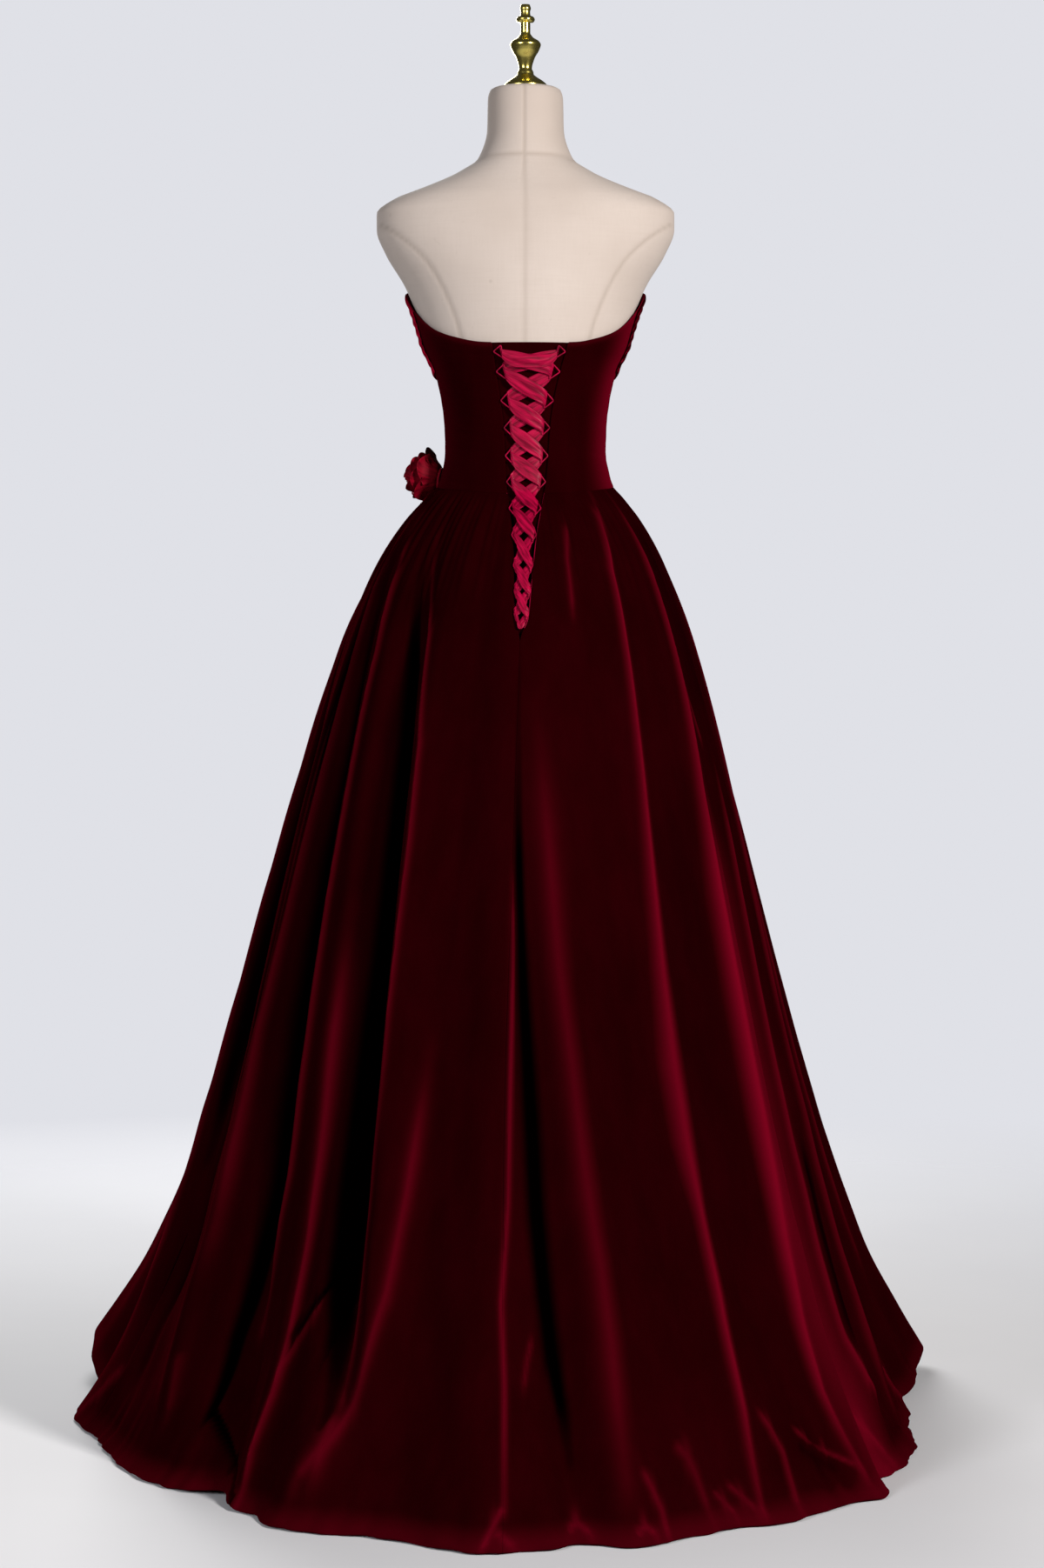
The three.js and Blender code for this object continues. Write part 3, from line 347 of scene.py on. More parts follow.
@dataclass(frozen=True)
class SkirtSurface:
    """The skirt's outside: a bell from the waist seam to the hem, with folds, gathers and creases."""

    # Of the way out: what is gained right under the waist and over what reach, and the kick at the hem.
    share: float = 0.179
    reach: float = 0.08
    kick: float = 0.147
    power: float = 7.5
    seam_gap: float = 0.3
    long: float = 1300.0
    fold_fade: float = 0.12
    crease_faint: float = 0.1
    crease_grown: float = 0.16
    crease_fades: float = 0.88
    crease_loss: float = 0.6
    laid_from: float = 0.982
    laid_out: float = 7.0
    laid_ripple: float = 1.5
    floor_from: float = 0.97
    floor_clear: float = 2.4
    floor_ripple: float = 1.2
    lowest: float = 0.3
    hem_out: Curve = Curve((
        (-180, 640), (-152, 690), (-131, 745), (-112, 636), (-96, 572), (-82, 530), (-57, 512), (-46, 480),
        (-38, 512), (-30, 547), (-18, 545), (-6, 577), (3.5, 573), (12, 564), (21, 542), (31, 522), (43, 524),
        (63, 492), (90, 488), (106, 530), (121, 622), (131, 698), (152, 670), (180, 640),
    ))
    hem_up: Curve = Curve((
        (-180, 38), (-152, 40), (-131, 60), (-112, 8), (-96, 1.6), (-57, 1.6), (-46, 9), (-38, 1.6),
        (90, 1.6), (106, 3), (121, 14), (131, 34), (152, 36), (180, 38),
    ))
    seam: Curve = Curve(((0, 0.3), (0.16, -2), (0.4, -3.2), (0.6, -3.8), (1, -2.5)))
    folds: tuple[Fold, ...] = (
        Fold(-3, -3.4, -3, 0.17, 0.5, 1.1, 13, 6, 1.7),
        Fold(-1.5, 0.6, 6, 0.15, 0.5, 1.1, -24, 2.2, 4),
        Fold(5, 8, 12.5, 0.25, 0.6, 1.1, 14, 3.5, 5),
        Fold(40, 32, 31.5, 0, 0.3, 1.1, 21, 3.5, 6),
        Fold(62, 55, 52.5, 0.02, 0.25, 1.1, 25, 4, 5),
        Fold(70, 65, 60, 0.1, 0.5, 1.1, -13, 4, 3),
        Fold(80, 75, 69, 0.1, 0.4, 1.0, 17, 3, 2.4),
        Fold(85, 80, 75, 0.35, 0.6, 1.0, -18, 2.4, 2.8),
        Fold(92, 90, 86, 0.4, 0.7, 1.0, 14, 3.5, 4),
        Fold(112, 112, 110, 0.1, 0.5, 1.1, -20, 5, 5),
        Fold(126, 128, 129, 0.05, 0.4, 1.1, 24, 6, 6),
        Fold(146, 145, 143, 0.05, 0.4, 1.1, -28, 6, 5),
        Fold(160, 161, 163, 0.1, 0.5, 1.1, 20, 5, 6),
        Fold(177, 178, 176, 0.05, 0.4, 1.1, -25, 6, 6),
        Fold(-167, -165, -166, 0.1, 0.5, 1.1, 19, 5, 6),
        Fold(-151, -150, -147, 0.05, 0.4, 1.1, -30, 6, 6),
        Fold(-134, -132, -130, 0.05, 0.5, 1.1, 22, 6, 6),
        Fold(-118, -117, -114, 0.1, 0.5, 1.1, -18, 4, 4),
        Fold(-108, -105, -99, 0.1, 0.5, 1.1, 12, 5, 6),
        Fold(-100, -93, -84, 0.12, 0.4, 0.9, -22, 5, 4),
        Fold(-88, -77, -66, 0.08, 0.4, 0.98, 20, 5, 3.5),
        Fold(-78, -64, -51, 0.05, 0.3, 1.0, -36, 5, 4),
        Fold(-62, -49, -42, 0.03, 0.3, 1.1, 22, 4, 3),
        Fold(-50, -36, -26.5, 0.01, 0.2, 0.95, -44, 4.5, 3.4),
        Fold(-45, -29.5, -22, 0.05, 0.3, 0.92, 13, 1.8, 5),
        Fold(-19, -19, -31, 0.5, 0.75, 1.1, 10, 3, 4),
    )
    gathers: tuple[tuple[float, float, float], ...] = (
        (22, 3.2, 3.5), (31, 2.6, 3), (48, 2.8, 4), (72, 2.6, 4), (97, 3, 4), (108, 2.4, 4), (121, 3.2, 4),
        (138, 2.8, 4), (152, 2.6, 4), (169, 3.2, 4), (-174, 2.6, 4), (-158, 3, 4), (-143, 2.6, 4),
        (-126, 2.8, 4), (-94, 3, 4), (-73, 3, 4), (-41, 3, 3.5), (-26, 2.6, 3),
    )
    creases: tuple[Crease, ...] = (
        # The back's left: crests with a painted highlight, each with a trough of painted shade on its left.
        Crease((
            (-50, 0.05, 3), (-37, 0.15, 3.5), (-31.5, 0.26, 3.5), (-30, 0.36, 4), (-29.3, 0.5, 4),
            (-28.6, 0.65, 5), (-28, 0.8, 5), (-27.2, 0.89, 4),
        ), 5, 0.45),
        Crease((
            (-55, 0.04, 4), (-48.5, 0.124, 6), (-44.8, 0.192, 8), (-42.4, 0.258, 10), (-40.6, 0.324, 14),
            (-39, 0.39, 17), (-37.8, 0.454, 18), (-37, 0.518, 19), (-36.2, 0.582, 21), (-35.4, 0.646, 23),
            (-34.2, 0.708, 25), (-33.2, 0.768, 24), (-31.6, 0.83, 17), (-29, 0.9, 6),
        ), -6, -1.15, 4),
        Crease((
            (-70, 0.03, 3), (-63, 0.09, 3.5), (-59, 0.17, 3.5), (-57.5, 0.3, 4), (-56.5, 0.42, 4),
            (-55, 0.53, 5), (-53.5, 0.62, 5), (-52.4, 0.7, 5), (-52.6, 0.77, 5), (-53.6, 0.85, 5),
        ), 5, 0.4),
        Crease((
            (-75, 0.04, 5), (-68, 0.12, 9), (-65.4, 0.2, 13), (-64.8, 0.262, 16), (-64.4, 0.33, 19),
            (-64, 0.396, 22), (-63, 0.464, 23), (-61.8, 0.53, 23), (-60.2, 0.6, 23), (-58.8, 0.66, 22),
            (-58, 0.72, 17), (-57.8, 0.788, 12), (-57.6, 0.86, 9), (-56.5, 0.93, 6), (-48, 0.975, 4),
            (-42, 0.995, 4),
        ), -5, -1.1, 3.6),
        Crease((
            (-80, 0.05, 4), (-75, 0.12, 4), (-74, 0.26, 5), (-73.4, 0.42, 6), (-72.6, 0.56, 8),
            (-70.5, 0.66, 12), (-69, 0.76, 16),
        ), 5, 0.42),
        Crease((
            (-83, 0.05, 6), (-78.5, 0.128, 10), (-78.5, 0.2, 15), (-80, 0.3, 20), (-79.6, 0.45, 23),
            (-78.6, 0.58, 22), (-77, 0.68, 14),
        ), -5, -1.1, 3.4),
        Crease((
            (-88, 0.16, 12), (-92, 0.3, 22), (-94.6, 0.4, 27), (-95.6, 0.48, 27), (-95.4, 0.55, 25),
            (-95, 0.62, 20), (-93.5, 0.7, 10),
        ), -3, -1, 3.6),
        Crease((
            (-47.6, 0.44, 10), (-46.4, 0.55, 12), (-44.5, 0.66, 9), (-42.9, 0.75, 6), (-41.9, 0.84, 5),
            (-41.5, 0.9, 5), (-42, 0.95, 5), (-40.4, 0.995, 5),
        ), 5, 0.55),
        Crease(((-34.2, 0.795, 4), (-37, 0.82, 4), (-40, 0.85, 4), (-41.4, 0.875, 4)), 5, 0.32),
        Crease(((-34.8, 0.79, 3), (-38, 0.812, 4), (-41.2, 0.845, 4)), -4, -0.9),
        Crease(((-27.4, 0.9, 7), (-28, 0.93, 9), (-30.2, 0.957, 9)), 3, 0.34),
        Crease((
            (-19.6, 0.56, 9), (-20.8, 0.7, 7), (-22, 0.79, 7), (-23.6, 0.845, 6), (-25, 0.89, 7),
            (-27.6, 0.937, 9),
        ), 4.5, 0.42),
        Crease(((-66.5, 0.88, 7), (-64.6, 0.94, 7)), 3, 0.2),
        # The centre back: the seam's crisp line with a painted highlight, and the tuck beside it with painted
        # shade.
        Crease((
            (-2.9, 0.36, 2.5), (-2.5, 0.45, 3), (-2.8, 0.58, 3.2), (-2.9, 0.7, 3.2), (-3.6, 0.79, 3.4),
            (-2.9, 0.86, 3.2), (-2.5, 0.965, 3),
        ), 3.2, 0.62),
        Crease((
            (-2.5, 0.18, 2.4), (-1.9, 0.33, 4.4), (-1.3, 0.42, 6.2), (-0.5, 0.5, 8), (0.3, 0.56, 10),
            (1.1, 0.63, 12), (1.8, 0.71, 12.5), (2.8, 0.78, 12), (3.8, 0.84, 11), (4.9, 0.885, 8),
            (5.7, 0.93, 5),
        ), -5, -1.05, 3.4),
        Crease((
            (3.4, 0.22, 12), (5.5, 0.37, 12), (6.8, 0.48, 12), (8.5, 0.57, 12), (10.2, 0.69, 13),
            (11.6, 0.76, 12), (12.2, 0.83, 12), (12.2, 0.94, 12),
        ), 3.5, 0.32),
        Crease(((0.9, 0.82, 3), (0.1, 0.845, 3), (-0.3, 0.865, 3)), 1.5, 0.3),
        # The back's right: long crests with a painted highlight.
        Crease(((22.5, 0.03, 3), (19.2, 0.07, 3), (18.2, 0.125, 3.5)), 2, 0.4),
        Crease((
            (50, 0.004, 3), (44.5, 0.026, 3), (39.2, 0.084, 3.4), (36.9, 0.155, 3.8), (34.7, 0.24, 4.2),
            (33.2, 0.32, 4.6), (32, 0.4, 6.5), (31, 0.49, 9), (30.5, 0.58, 13), (30.7, 0.65, 12),
            (31.4, 0.72, 7), (32, 0.8, 6.5), (31.9, 0.9, 5.5), (30.6, 0.985, 4),
        ), 6, 0.8),
        Crease((
            (66, 0.004, 3), (64, 0.04, 3.2), (62, 0.09, 3.6), (60, 0.15, 4), (57.5, 0.22, 4.4),
            (54.8, 0.31, 5), (53.2, 0.41, 6), (52.2, 0.53, 8), (51.6, 0.64, 9), (50.6, 0.74, 9),
            (49.3, 0.83, 7), (49, 0.9, 5), (50.4, 0.975, 5),
        ), 6.5, 0.72),
        Crease((
            (58, 0.3, 26), (57.5, 0.42, 36), (57, 0.53, 42), (57, 0.64, 48), (57, 0.75, 52),
            (57.5, 0.86, 56), (59.5, 0.96, 64), (60, 1.04, 66),
        ), 2, 0.54, 2.4),
        Crease((
            (72, 0.24, 4), (71, 0.34, 4), (70, 0.42, 4), (69, 0.51, 4.5), (68.4, 0.6, 5), (68, 0.7, 5),
            (67.4, 0.79, 5), (67, 0.87, 5), (68.4, 0.91, 5), (72, 0.945, 5),
        ), 4, 0.5),
        Crease((
            (71.6, 0.66, 5), (71.4, 0.72, 8), (71, 0.8, 12), (70.6, 0.855, 15), (71.5, 0.89, 12),
            (74, 0.93, 6),
        ), -5, -0.85, 2.4),
        Crease(((78, 0.64, 5), (77, 0.74, 6), (75.4, 0.82, 6), (75.4, 0.88, 5), (76.5, 0.925, 5)), 4.5, 0.65),
        Crease(((61, 0.165, 3.5), (62.3, 0.21, 3.5), (64.6, 0.24, 3.5), (66.6, 0.265, 4)), 2, 0.45),
        Crease(((76, 0.03, 22), (74, 0.12, 34), (76, 0.24, 44)), -2, -0.45, 2),
        Crease(((44, 0.3, 30), (42, 0.45, 42), (41, 0.6, 56), (41, 0.8, 60)), -2, -0.22, 2),
        Crease(((21, 0.4, 40), (21, 0.6, 54), (22, 0.8, 60)), -2, -0.16, 2),
        # Where the hem breaks on the floor.
        Crease(((14.4, 0.935, 5), (15.7, 0.958, 4.5), (16.5, 0.976, 4.5), (16.6, 0.996, 4)), 4, 0.42),
        Crease(((20, 0.92, 8), (22, 0.936, 7), (22.8, 0.955, 6), (23.5, 0.985, 6)), 3, 0.3),
        Crease(((24.8, 0.968, 4), (26, 0.978, 4), (27, 0.988, 4)), 3, 0.34),
        Crease(((27, 0.962, 4), (28.6, 0.975, 4), (29.8, 0.986, 4)), 3, 0.34),
        Crease((
            (34.4, 0.9, 5), (36.2, 0.922, 5), (37.3, 0.945, 5), (36.9, 0.975, 6), (36.5, 0.99, 7),
        ), 4, 0.45),
        Crease(((40.6, 0.924, 4), (43, 0.94, 4), (45.8, 0.954, 4), (49.9, 0.969, 4)), 4, 0.45),
        Crease(((41, 0.94, 8), (44, 0.958, 9), (47.5, 0.972, 9)), -4, -0.5),
        Crease(((4.9, 0.99, 4), (6, 0.983, 4), (7.6, 0.991, 4)), 3, 0.4),
        Crease(((12.4, 0.99, 4), (13.7, 0.984, 4), (15, 0.991, 4)), 3, 0.4),
        Crease(((-2.6, 0.962, 4), (-3.6, 0.977, 4), (-4.8, 0.996, 4)), 4, 0.5),
        Crease(((-3.4, 0.982, 4), (-1.4, 0.995, 4)), 2.5, 0.35),
        Crease(((60, 0.93, 7), (63, 0.955, 7), (66, 0.985, 7)), 3, 0.3),
        # The sides and the front, of the same kind.
        Crease(((88, 0.1, 7), (88, 0.4, 9), (86, 0.7, 9), (84, 0.95, 9)), 4, 0.4),
        Crease(((100, 0.06, 4), (99, 0.3, 6), (98, 0.6, 8), (97, 0.93, 8)), 5, 0.55),
        Crease(((94.5, 0.1, 6), (94, 0.4, 12), (92, 0.85, 14)), -6, -0.85, 2.6),
        Crease(((118, 0.08, 4), (120, 0.4, 7), (121, 0.85, 8)), 5, 0.55),
        Crease(((111, 0.08, 6), (112, 0.4, 14), (110, 0.9, 18)), -6, -0.9, 2.6),
        Crease(((127, 0.05, 4), (129, 0.5, 8), (130, 0.98, 9)), 6, 0.7),
        Crease(((145, 0.06, 6), (145, 0.5, 16), (142, 0.92, 20)), -7, -0.9, 2.6),
        Crease(((160, 0.05, 4), (161, 0.5, 8), (163, 0.97, 9)), 5, 0.6),
        Crease(((171, 0.3, 6), (171, 0.6, 9), (173, 0.9, 9)), 3, 0.35),
        Crease(((178, 0.06, 6), (178, 0.5, 15), (176, 0.9, 18)), -6, -0.85, 2.6),
        Crease(((-168, 0.05, 4), (-165, 0.5, 8), (-166, 0.97, 9)), 5, 0.6),
        Crease(((-158, 0.25, 6), (-156, 0.6, 9), (-158, 0.9, 9)), 3, 0.35),
        Crease(((-151, 0.06, 6), (-150, 0.5, 16), (-147, 0.92, 20)), -7, -0.9, 2.6),
        Crease(((-134, 0.05, 4), (-132, 0.5, 8), (-130, 0.98, 9)), 6, 0.7),
        Crease(((-123, 0.3, 5), (-122, 0.6, 7), (-121, 0.93, 8)), 3, 0.4),
        Crease(((-117, 0.08, 6), (-117, 0.5, 14), (-114, 0.9, 18)), -6, -0.85, 2.6),
        Crease(((-106, 0.06, 4), (-103, 0.4, 7), (-99, 0.9, 8)), 5, 0.55),
        Crease(((-96, 0.1, 6), (-92, 0.45, 14), (-85, 0.9, 16)), -6, -0.85, 2.6),
        Crease(((96, 0.93, 7), (99, 0.96, 6), (103, 0.985, 6)), 4, 0.45),
        Crease(((-92, 0.93, 7), (-95, 0.96, 6), (-98, 0.99, 6)), 3.5, 0.45),
        Crease(((150, 0.93, 7), (153, 0.96, 6), (155, 0.99, 6)), 3, 0.4),
        Crease(((-176, 0.92, 7), (-178, 0.96, 6), (-177, 0.99, 6)), 3, 0.4),
        Crease(((-142, 0.93, 7), (-140, 0.96, 6), (-141, 0.99, 6)), 3, 0.4),
    )

    def waist_out(self, angle: np.ndarray) -> np.ndarray:
        """How far out the bodice's outside lies at the waist seam."""
        a, up = np.radians(angle), FORM.waist_up(angle)
        side = FORM.side.at(up) + FORM.bodice_out
        depth = FORM.depth(np.cos(a), up) + FORM.bodice_out
        return 1 / np.hypot(np.sin(a) / side, np.cos(a) / depth)

    def spread(self, angle: np.ndarray, down: np.ndarray) -> np.ndarray:
        """The share of the way out to the hem at a share of the way down."""
        cosine = np.cos(np.radians(angle))
        share = self.share * np.where(cosine > 0, 1 - 0.25 * cosine**2, 1.0)
        early = share * (1 - np.exp(-down / self.reach))
        return early + (1 - share - self.kick) * down + self.kick * down**self.power

    def fold_out(self, angle: np.ndarray, down: np.ndarray, spread: np.ndarray) -> np.ndarray:
        """How far the large folds and the gathers push the cloth out."""
        out = np.zeros_like(angle)
        for fold in self.folds:
            off = turn(fold.angle(down), angle)
            wide = np.where(off < 0, fold.before, fold.after)
            grown = smooth(down, fold.start, fold.full)
            grown = grown * (1 - smooth(down, fold.end - self.fold_fade, fold.end))
            out += fold.high * spread * grown * hump(off, wide)
        gathered = smooth(down, 0, 0.035) * (1 - smooth(down, 0.06, 0.17))
        for at, high, wide in self.gathers:
            out += high * gathered * hump(turn(at, angle), wide)
        return out

    def plain_out(self, angle: np.ndarray, down: np.ndarray) -> np.ndarray:
        """How far out the skirt lies, without its creases."""
        waist, spread = self.waist_out(angle), self.spread(angle, down)
        hem = self.hem_out.at(turn(0, angle))
        return waist + (hem - waist) * spread + self.fold_out(angle, down, spread)

    def creased(self, angle: np.ndarray, down: np.ndarray, out: np.ndarray) -> tuple[np.ndarray, np.ndarray]:
        """The narrow creases' height and their painted light at each place.

        Args:
            angle: Compass angles.
            down: Shares of the way down.
            out: How far out the skirt lies there.

        Returns:
            Heights in millimetres, and the painted light, from -1 for painted shade to 1 for a painted
            highlight.
        """
        high, painted_light = np.zeros_like(angle), np.zeros_like(angle)
        for crease in self.creases:
            gap, wide, along = np.full_like(angle, 1e9), np.ones_like(angle), np.zeros_like(angle)
            steps = len(crease.path) - 1
            for i, ((a0, d0, w0), (a1, d1, w1)) in enumerate(zip(crease.path, crease.path[1:])):
                x = np.radians(turn(a0, angle)) * out
                x1 = np.radians(turn(a0, a1)) * out
                y, y1 = (down - d0) * self.long, (d1 - d0) * self.long
                t = np.clip((x * x1 + y * y1) / (x1**2 + y1**2 + 1e-9), 0, 1)
                here = np.hypot(x - t * x1, (y - t * y1) * np.where((t > 0) & (t < 1), 1, 0.35))
                nearer = here < gap
                gap = np.where(nearer, here, gap)
                wide = np.where(nearer, w0 + (w1 - w0) * t, wide)
                along = np.where(nearer, (i + t) / steps, along)
            # A crease grows out of a faint start and loses some of its height at its end.
            grown = (1 - self.crease_faint) * smooth(along, 0, self.crease_grown)
            fading = 1 - self.crease_loss * smooth(along, self.crease_fades, 1)
            shape = hump(gap, wide, crease.sharp) * (self.crease_faint + grown * fading)
            high += crease.high * shape
            painted_light += crease.painted_light * shape
        return high, np.clip(painted_light, -1, 1)

    def fine_out(self, angle: np.ndarray, down: np.ndarray) -> np.ndarray:
        """Small gathers under the waist seam, soft slack lower down, and the hem's own ripple."""
        gathered = smooth(down, 0.0, 0.012) * (1 - smooth(down, 0.03, 0.16))
        fine = ripple(angle + 9 * down, 3, 34, 96) * 0.9 * gathered
        soft = ripple(angle + 14 * np.sin(3 * down), 11, 26, 60) * 0.7 * smooth(down, 0.15, 0.6)
        slack = ripple(angle * 0.6 + 150 * down, 23, 9, 28) * 0.8 * smooth(down, 0.3, 0.8)
        hem = ripple(angle, 31, 60, 120) * smooth(down, 0.93, 1.0)
        return fine + soft + slack + hem

    def point(self, angle: np.ndarray, down: np.ndarray) -> np.ndarray:
        """Points on the skirt's outside.

        Args:
            angle: Compass angles.
            down: Shares of the way from the waist seam to the hem.

        Returns:
            The points, with a last axis of x, y and z.
        """
        angle, down = np.broadcast_arrays(np.asarray(angle, float), np.asarray(down, float))
        compass, a = turn(0, angle), np.radians(angle)
        plain = self.plain_out(angle, down)
        out = plain + self.creased(angle, down, plain)[0] + self.fine_out(angle, down)
        top, foot = FORM.waist_up(angle) - self.seam_gap, self.hem_up.at(compass)
        up = top + (foot - top) * down
        # The last stretch of cloth lies out on the floor, most at the back.
        behind = smooth(np.cos(a), -0.35, 0.2)
        laid = smooth(down, self.laid_from, 1.0) * behind
        out = out + laid * (self.laid_out + self.laid_ripple * ripple(angle, 47, 20, 44))
        floor = self.floor_clear + self.floor_ripple * (1 + ripple(angle, 53, 30, 70)) * behind
        up = np.maximum(up, np.where(down > self.floor_from, floor, self.lowest))
        return np.stack([-out * np.sin(a), out * np.cos(a), up], -1)

    def edge(self, side: int, down: np.ndarray) -> np.ndarray:
        """The compass angle of a back panel's edge: beside the opening, then down the centre-back seam."""
        middle = self.seam.at(down)
        top, foot = FORM.waist_up(middle) - self.seam_gap, self.hem_up.at(middle)
        up = top + (foot - top) * down
        out = self.plain_out(middle, down)
        half = np.where(up > OPENING.tip, OPENING.half.at(up), self.seam_gap / 2)
        return middle + side * np.degrees(np.arcsin(half / out))


OPENING = Opening()
SKIRT = SkirtSurface()


# ---------------------------------------------------------------- mesh helpers


def only(obj: Object) -> None:
    """Selects one object and makes it active."""
    bpy.ops.object.select_all(action="DESELECT")
    obj.select_set(True)
    bpy.context.view_layer.objects.active = obj


def apply_modifier(obj: Object, kind: str, **settings: float | int | bool | str) -> None:
    """Adds a modifier with its settings and applies it."""
    only(obj)
    modifier = obj.modifiers.new(kind.lower(), kind)
    for name, value in settings.items():
        setattr(modifier, name, value)
    bpy.ops.object.modifier_apply(modifier=modifier.name)


def read(items: bpy.types.bpy_prop_collection, name: str, width: int) -> np.ndarray:
    """One value of every item, a row for each."""
    flat = np.zeros(len(items) * width)
    items.foreach_get(name, flat)
    return flat.reshape(-1, width)


def sheet_mesh(
    name: str, points: np.ndarray, size: tuple[float, float], centre: np.ndarray | None = None
) -> Object:
    """A cloth surface from a grid primitive whose points are laid in place, facing away from its centre line.

    Args:
        name: The piece's name.
        points: Rows and columns of points in millimetres.
        size: Width and length of the cloth's own UV map in metres.
        centre: A point that the surface faces away from; the upright axis if left out.

    Returns:
        The surface as an object.
    """
    rows, columns = points.shape[:2]
    bpy.ops.object.select_all(action="DESELECT")
    bpy.ops.mesh.primitive_grid_add(x_subdivisions=columns - 1, y_subdivisions=rows - 1, size=1)
    obj = bpy.context.object
    obj.name = obj.data.name = name
    mesh = obj.data
    mesh.vertices.foreach_set("co", (points.reshape(-1, 3) * MM).ravel())
    cloth_map = mesh.uv_layers[0].data
    cloth_map.foreach_set("uv", (read(cloth_map, "uv", 2) * np.array(size)).ravel())
    mesh.update()
    away = read(mesh.polygons, "center", 3)
    if centre is None:
        away[:, 2] = 0
    else:
        away -= np.asarray(centre) * MM
    if (read(mesh.polygons, "normal", 3) * away).sum() < 0:
        mesh.flip_normals()
    return obj


def thicken(obj: Object, thick: float, smoothing: int = 0) -> None:
    """Gives a surface its cloth's thickness inwards, and rounds its edges.

    Args:
        obj: The surface.
        thick: Thickness in millimetres.
        smoothing: Levels of subdivision.
    """
    apply_modifier(obj, "SOLIDIFY", thickness=thick * MM, offset=-1.0, use_rim=True)
    if smoothing:
        apply_modifier(obj, "SUBSURF", levels=smoothing, render_levels=smoothing)
    only(obj)
    bpy.ops.object.shade_smooth_by_angle(angle=math.radians(52))


def paint(obj: Object, name: str, values: np.ndarray) -> None:
    """Keeps a number on each point for a material to read."""
    layer = obj.data.attributes.new(name, "FLOAT", "POINT")
    layer.data.foreach_set("value", np.asarray(values, np.float32).ravel())


def cloth(
    name: str, points: np.ndarray, size: tuple[float, float], thick: float, nap_and_painted_light: np.ndarray | None = None
) -> Object:
    """A smoothed piece of cloth from its outside.

    Args:
        name: The piece's name.
        points: Rows and columns of points in millimetres.
        size: Width and length of the cloth's own UV map in metres.
        thick: Thickness in millimetres.
        nap_and_painted_light: The painted light kept on each point: a painted highlight above 0, painted
            shade below 0.

    Returns:
        The piece.
    """
    obj = sheet_mesh(name, points, size)
    if nap_and_painted_light is not None:
        paint(obj, "nap_and_painted_light", nap_and_painted_light)
    thicken(obj, thick, 1)
    return obj


def cord_mesh(name: str, lines: list[tuple[np.ndarray, bool, float]]) -> Object:
    """Round cords along lines of points, as one mesh.

    Args:
        name: The piece's name.
        lines: Each line's points in millimetres, whether it closes on itself, and its cord's radius.

    Returns:
        The cords as an object.
    """
    curve = bpy.data.curves.new(name, "CURVE")
    curve.dimensions = "3D"
    curve.bevel_depth, curve.bevel_resolution, curve.use_fill_caps = MM, 3, True
    for points, closed, radius in lines:
        spline = curve.splines.new("POLY")
        spline.points.add(len(points) - 1)
        spline.points.foreach_set("co", np.hstack([points * MM, np.ones((len(points), 1))]).ravel())
        spline.points.foreach_set("radius", np.full(len(points), radius))
        spline.use_cyclic_u = closed
    obj = bpy.data.objects.new(name, curve)
    bpy.context.scene.collection.objects.link(obj)
    only(obj)
    bpy.ops.object.convert(target="MESH")
    obj = bpy.context.object
    mesh = obj.data
    if not mesh.uv_layers:
        mesh.uv_layers.new(name="UVMap")
    corner = np.zeros(len(mesh.loops), int)
    mesh.loops.foreach_get("vertex_index", corner)
    mesh.uv_layers[0].data.foreach_set("uv", read(mesh.vertices, "co", 3)[corner][:, [0, 2]].ravel())
    bpy.ops.object.shade_smooth()
    return obj


def rounded(corners: np.ndarray, steps: int = 6, keep: float = 0.62) -> np.ndarray:
    """A closed line of corners with each corner rounded off.

    Args:
        corners: The corner points.
        steps: Points in each rounding.
        keep: How far towards a corner each straight stretch runs, from 0.5 to 1.

    Returns:
        The points of the rounded line.
    """
    made = []
    count = len(corners)
    for i in range(count):
        here, before, after = corners[i], corners[i - 1], corners[(i + 1) % count]
        start, end = lerp(before, here, keep), lerp(after, here, keep)
        for t in np.linspace(0, 1, steps):
            made.append((1 - t) ** 2 * start + 2 * t * (1 - t) * here + t * t * end)
    return np.array(made)


def join(name: str, objects: list[Object]) -> Object:
    """Joins objects into one under a new name."""
    bpy.ops.object.select_all(action="DESELECT")
    for obj in objects:
        obj.select_set(True)
    bpy.context.view_layer.objects.active = objects[0]
    bpy.ops.object.join()
    joined = bpy.context.object
    joined.name = joined.data.name = name
    return joined


def dress(obj: Object, material: Material, slot: Slot, *nodes: str) -> Object:
    """Gives a piece its material and its body, and hides the nodes that it stands for.

    Args:
        obj: The piece.
        material: Its finish.
        slot: Not used.
        nodes: The nodes that it replaces.

    Returns:
        The piece.
    """
    obj.data.materials.clear()
    obj.data.materials.append(material)
    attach(obj, "root")
    if nodes:
        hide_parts(*nodes)
    LOG.info("%s: %d faces", obj.name, len(obj.data.polygons))
    return obj


# ---------------------------------------------------------------- finishes


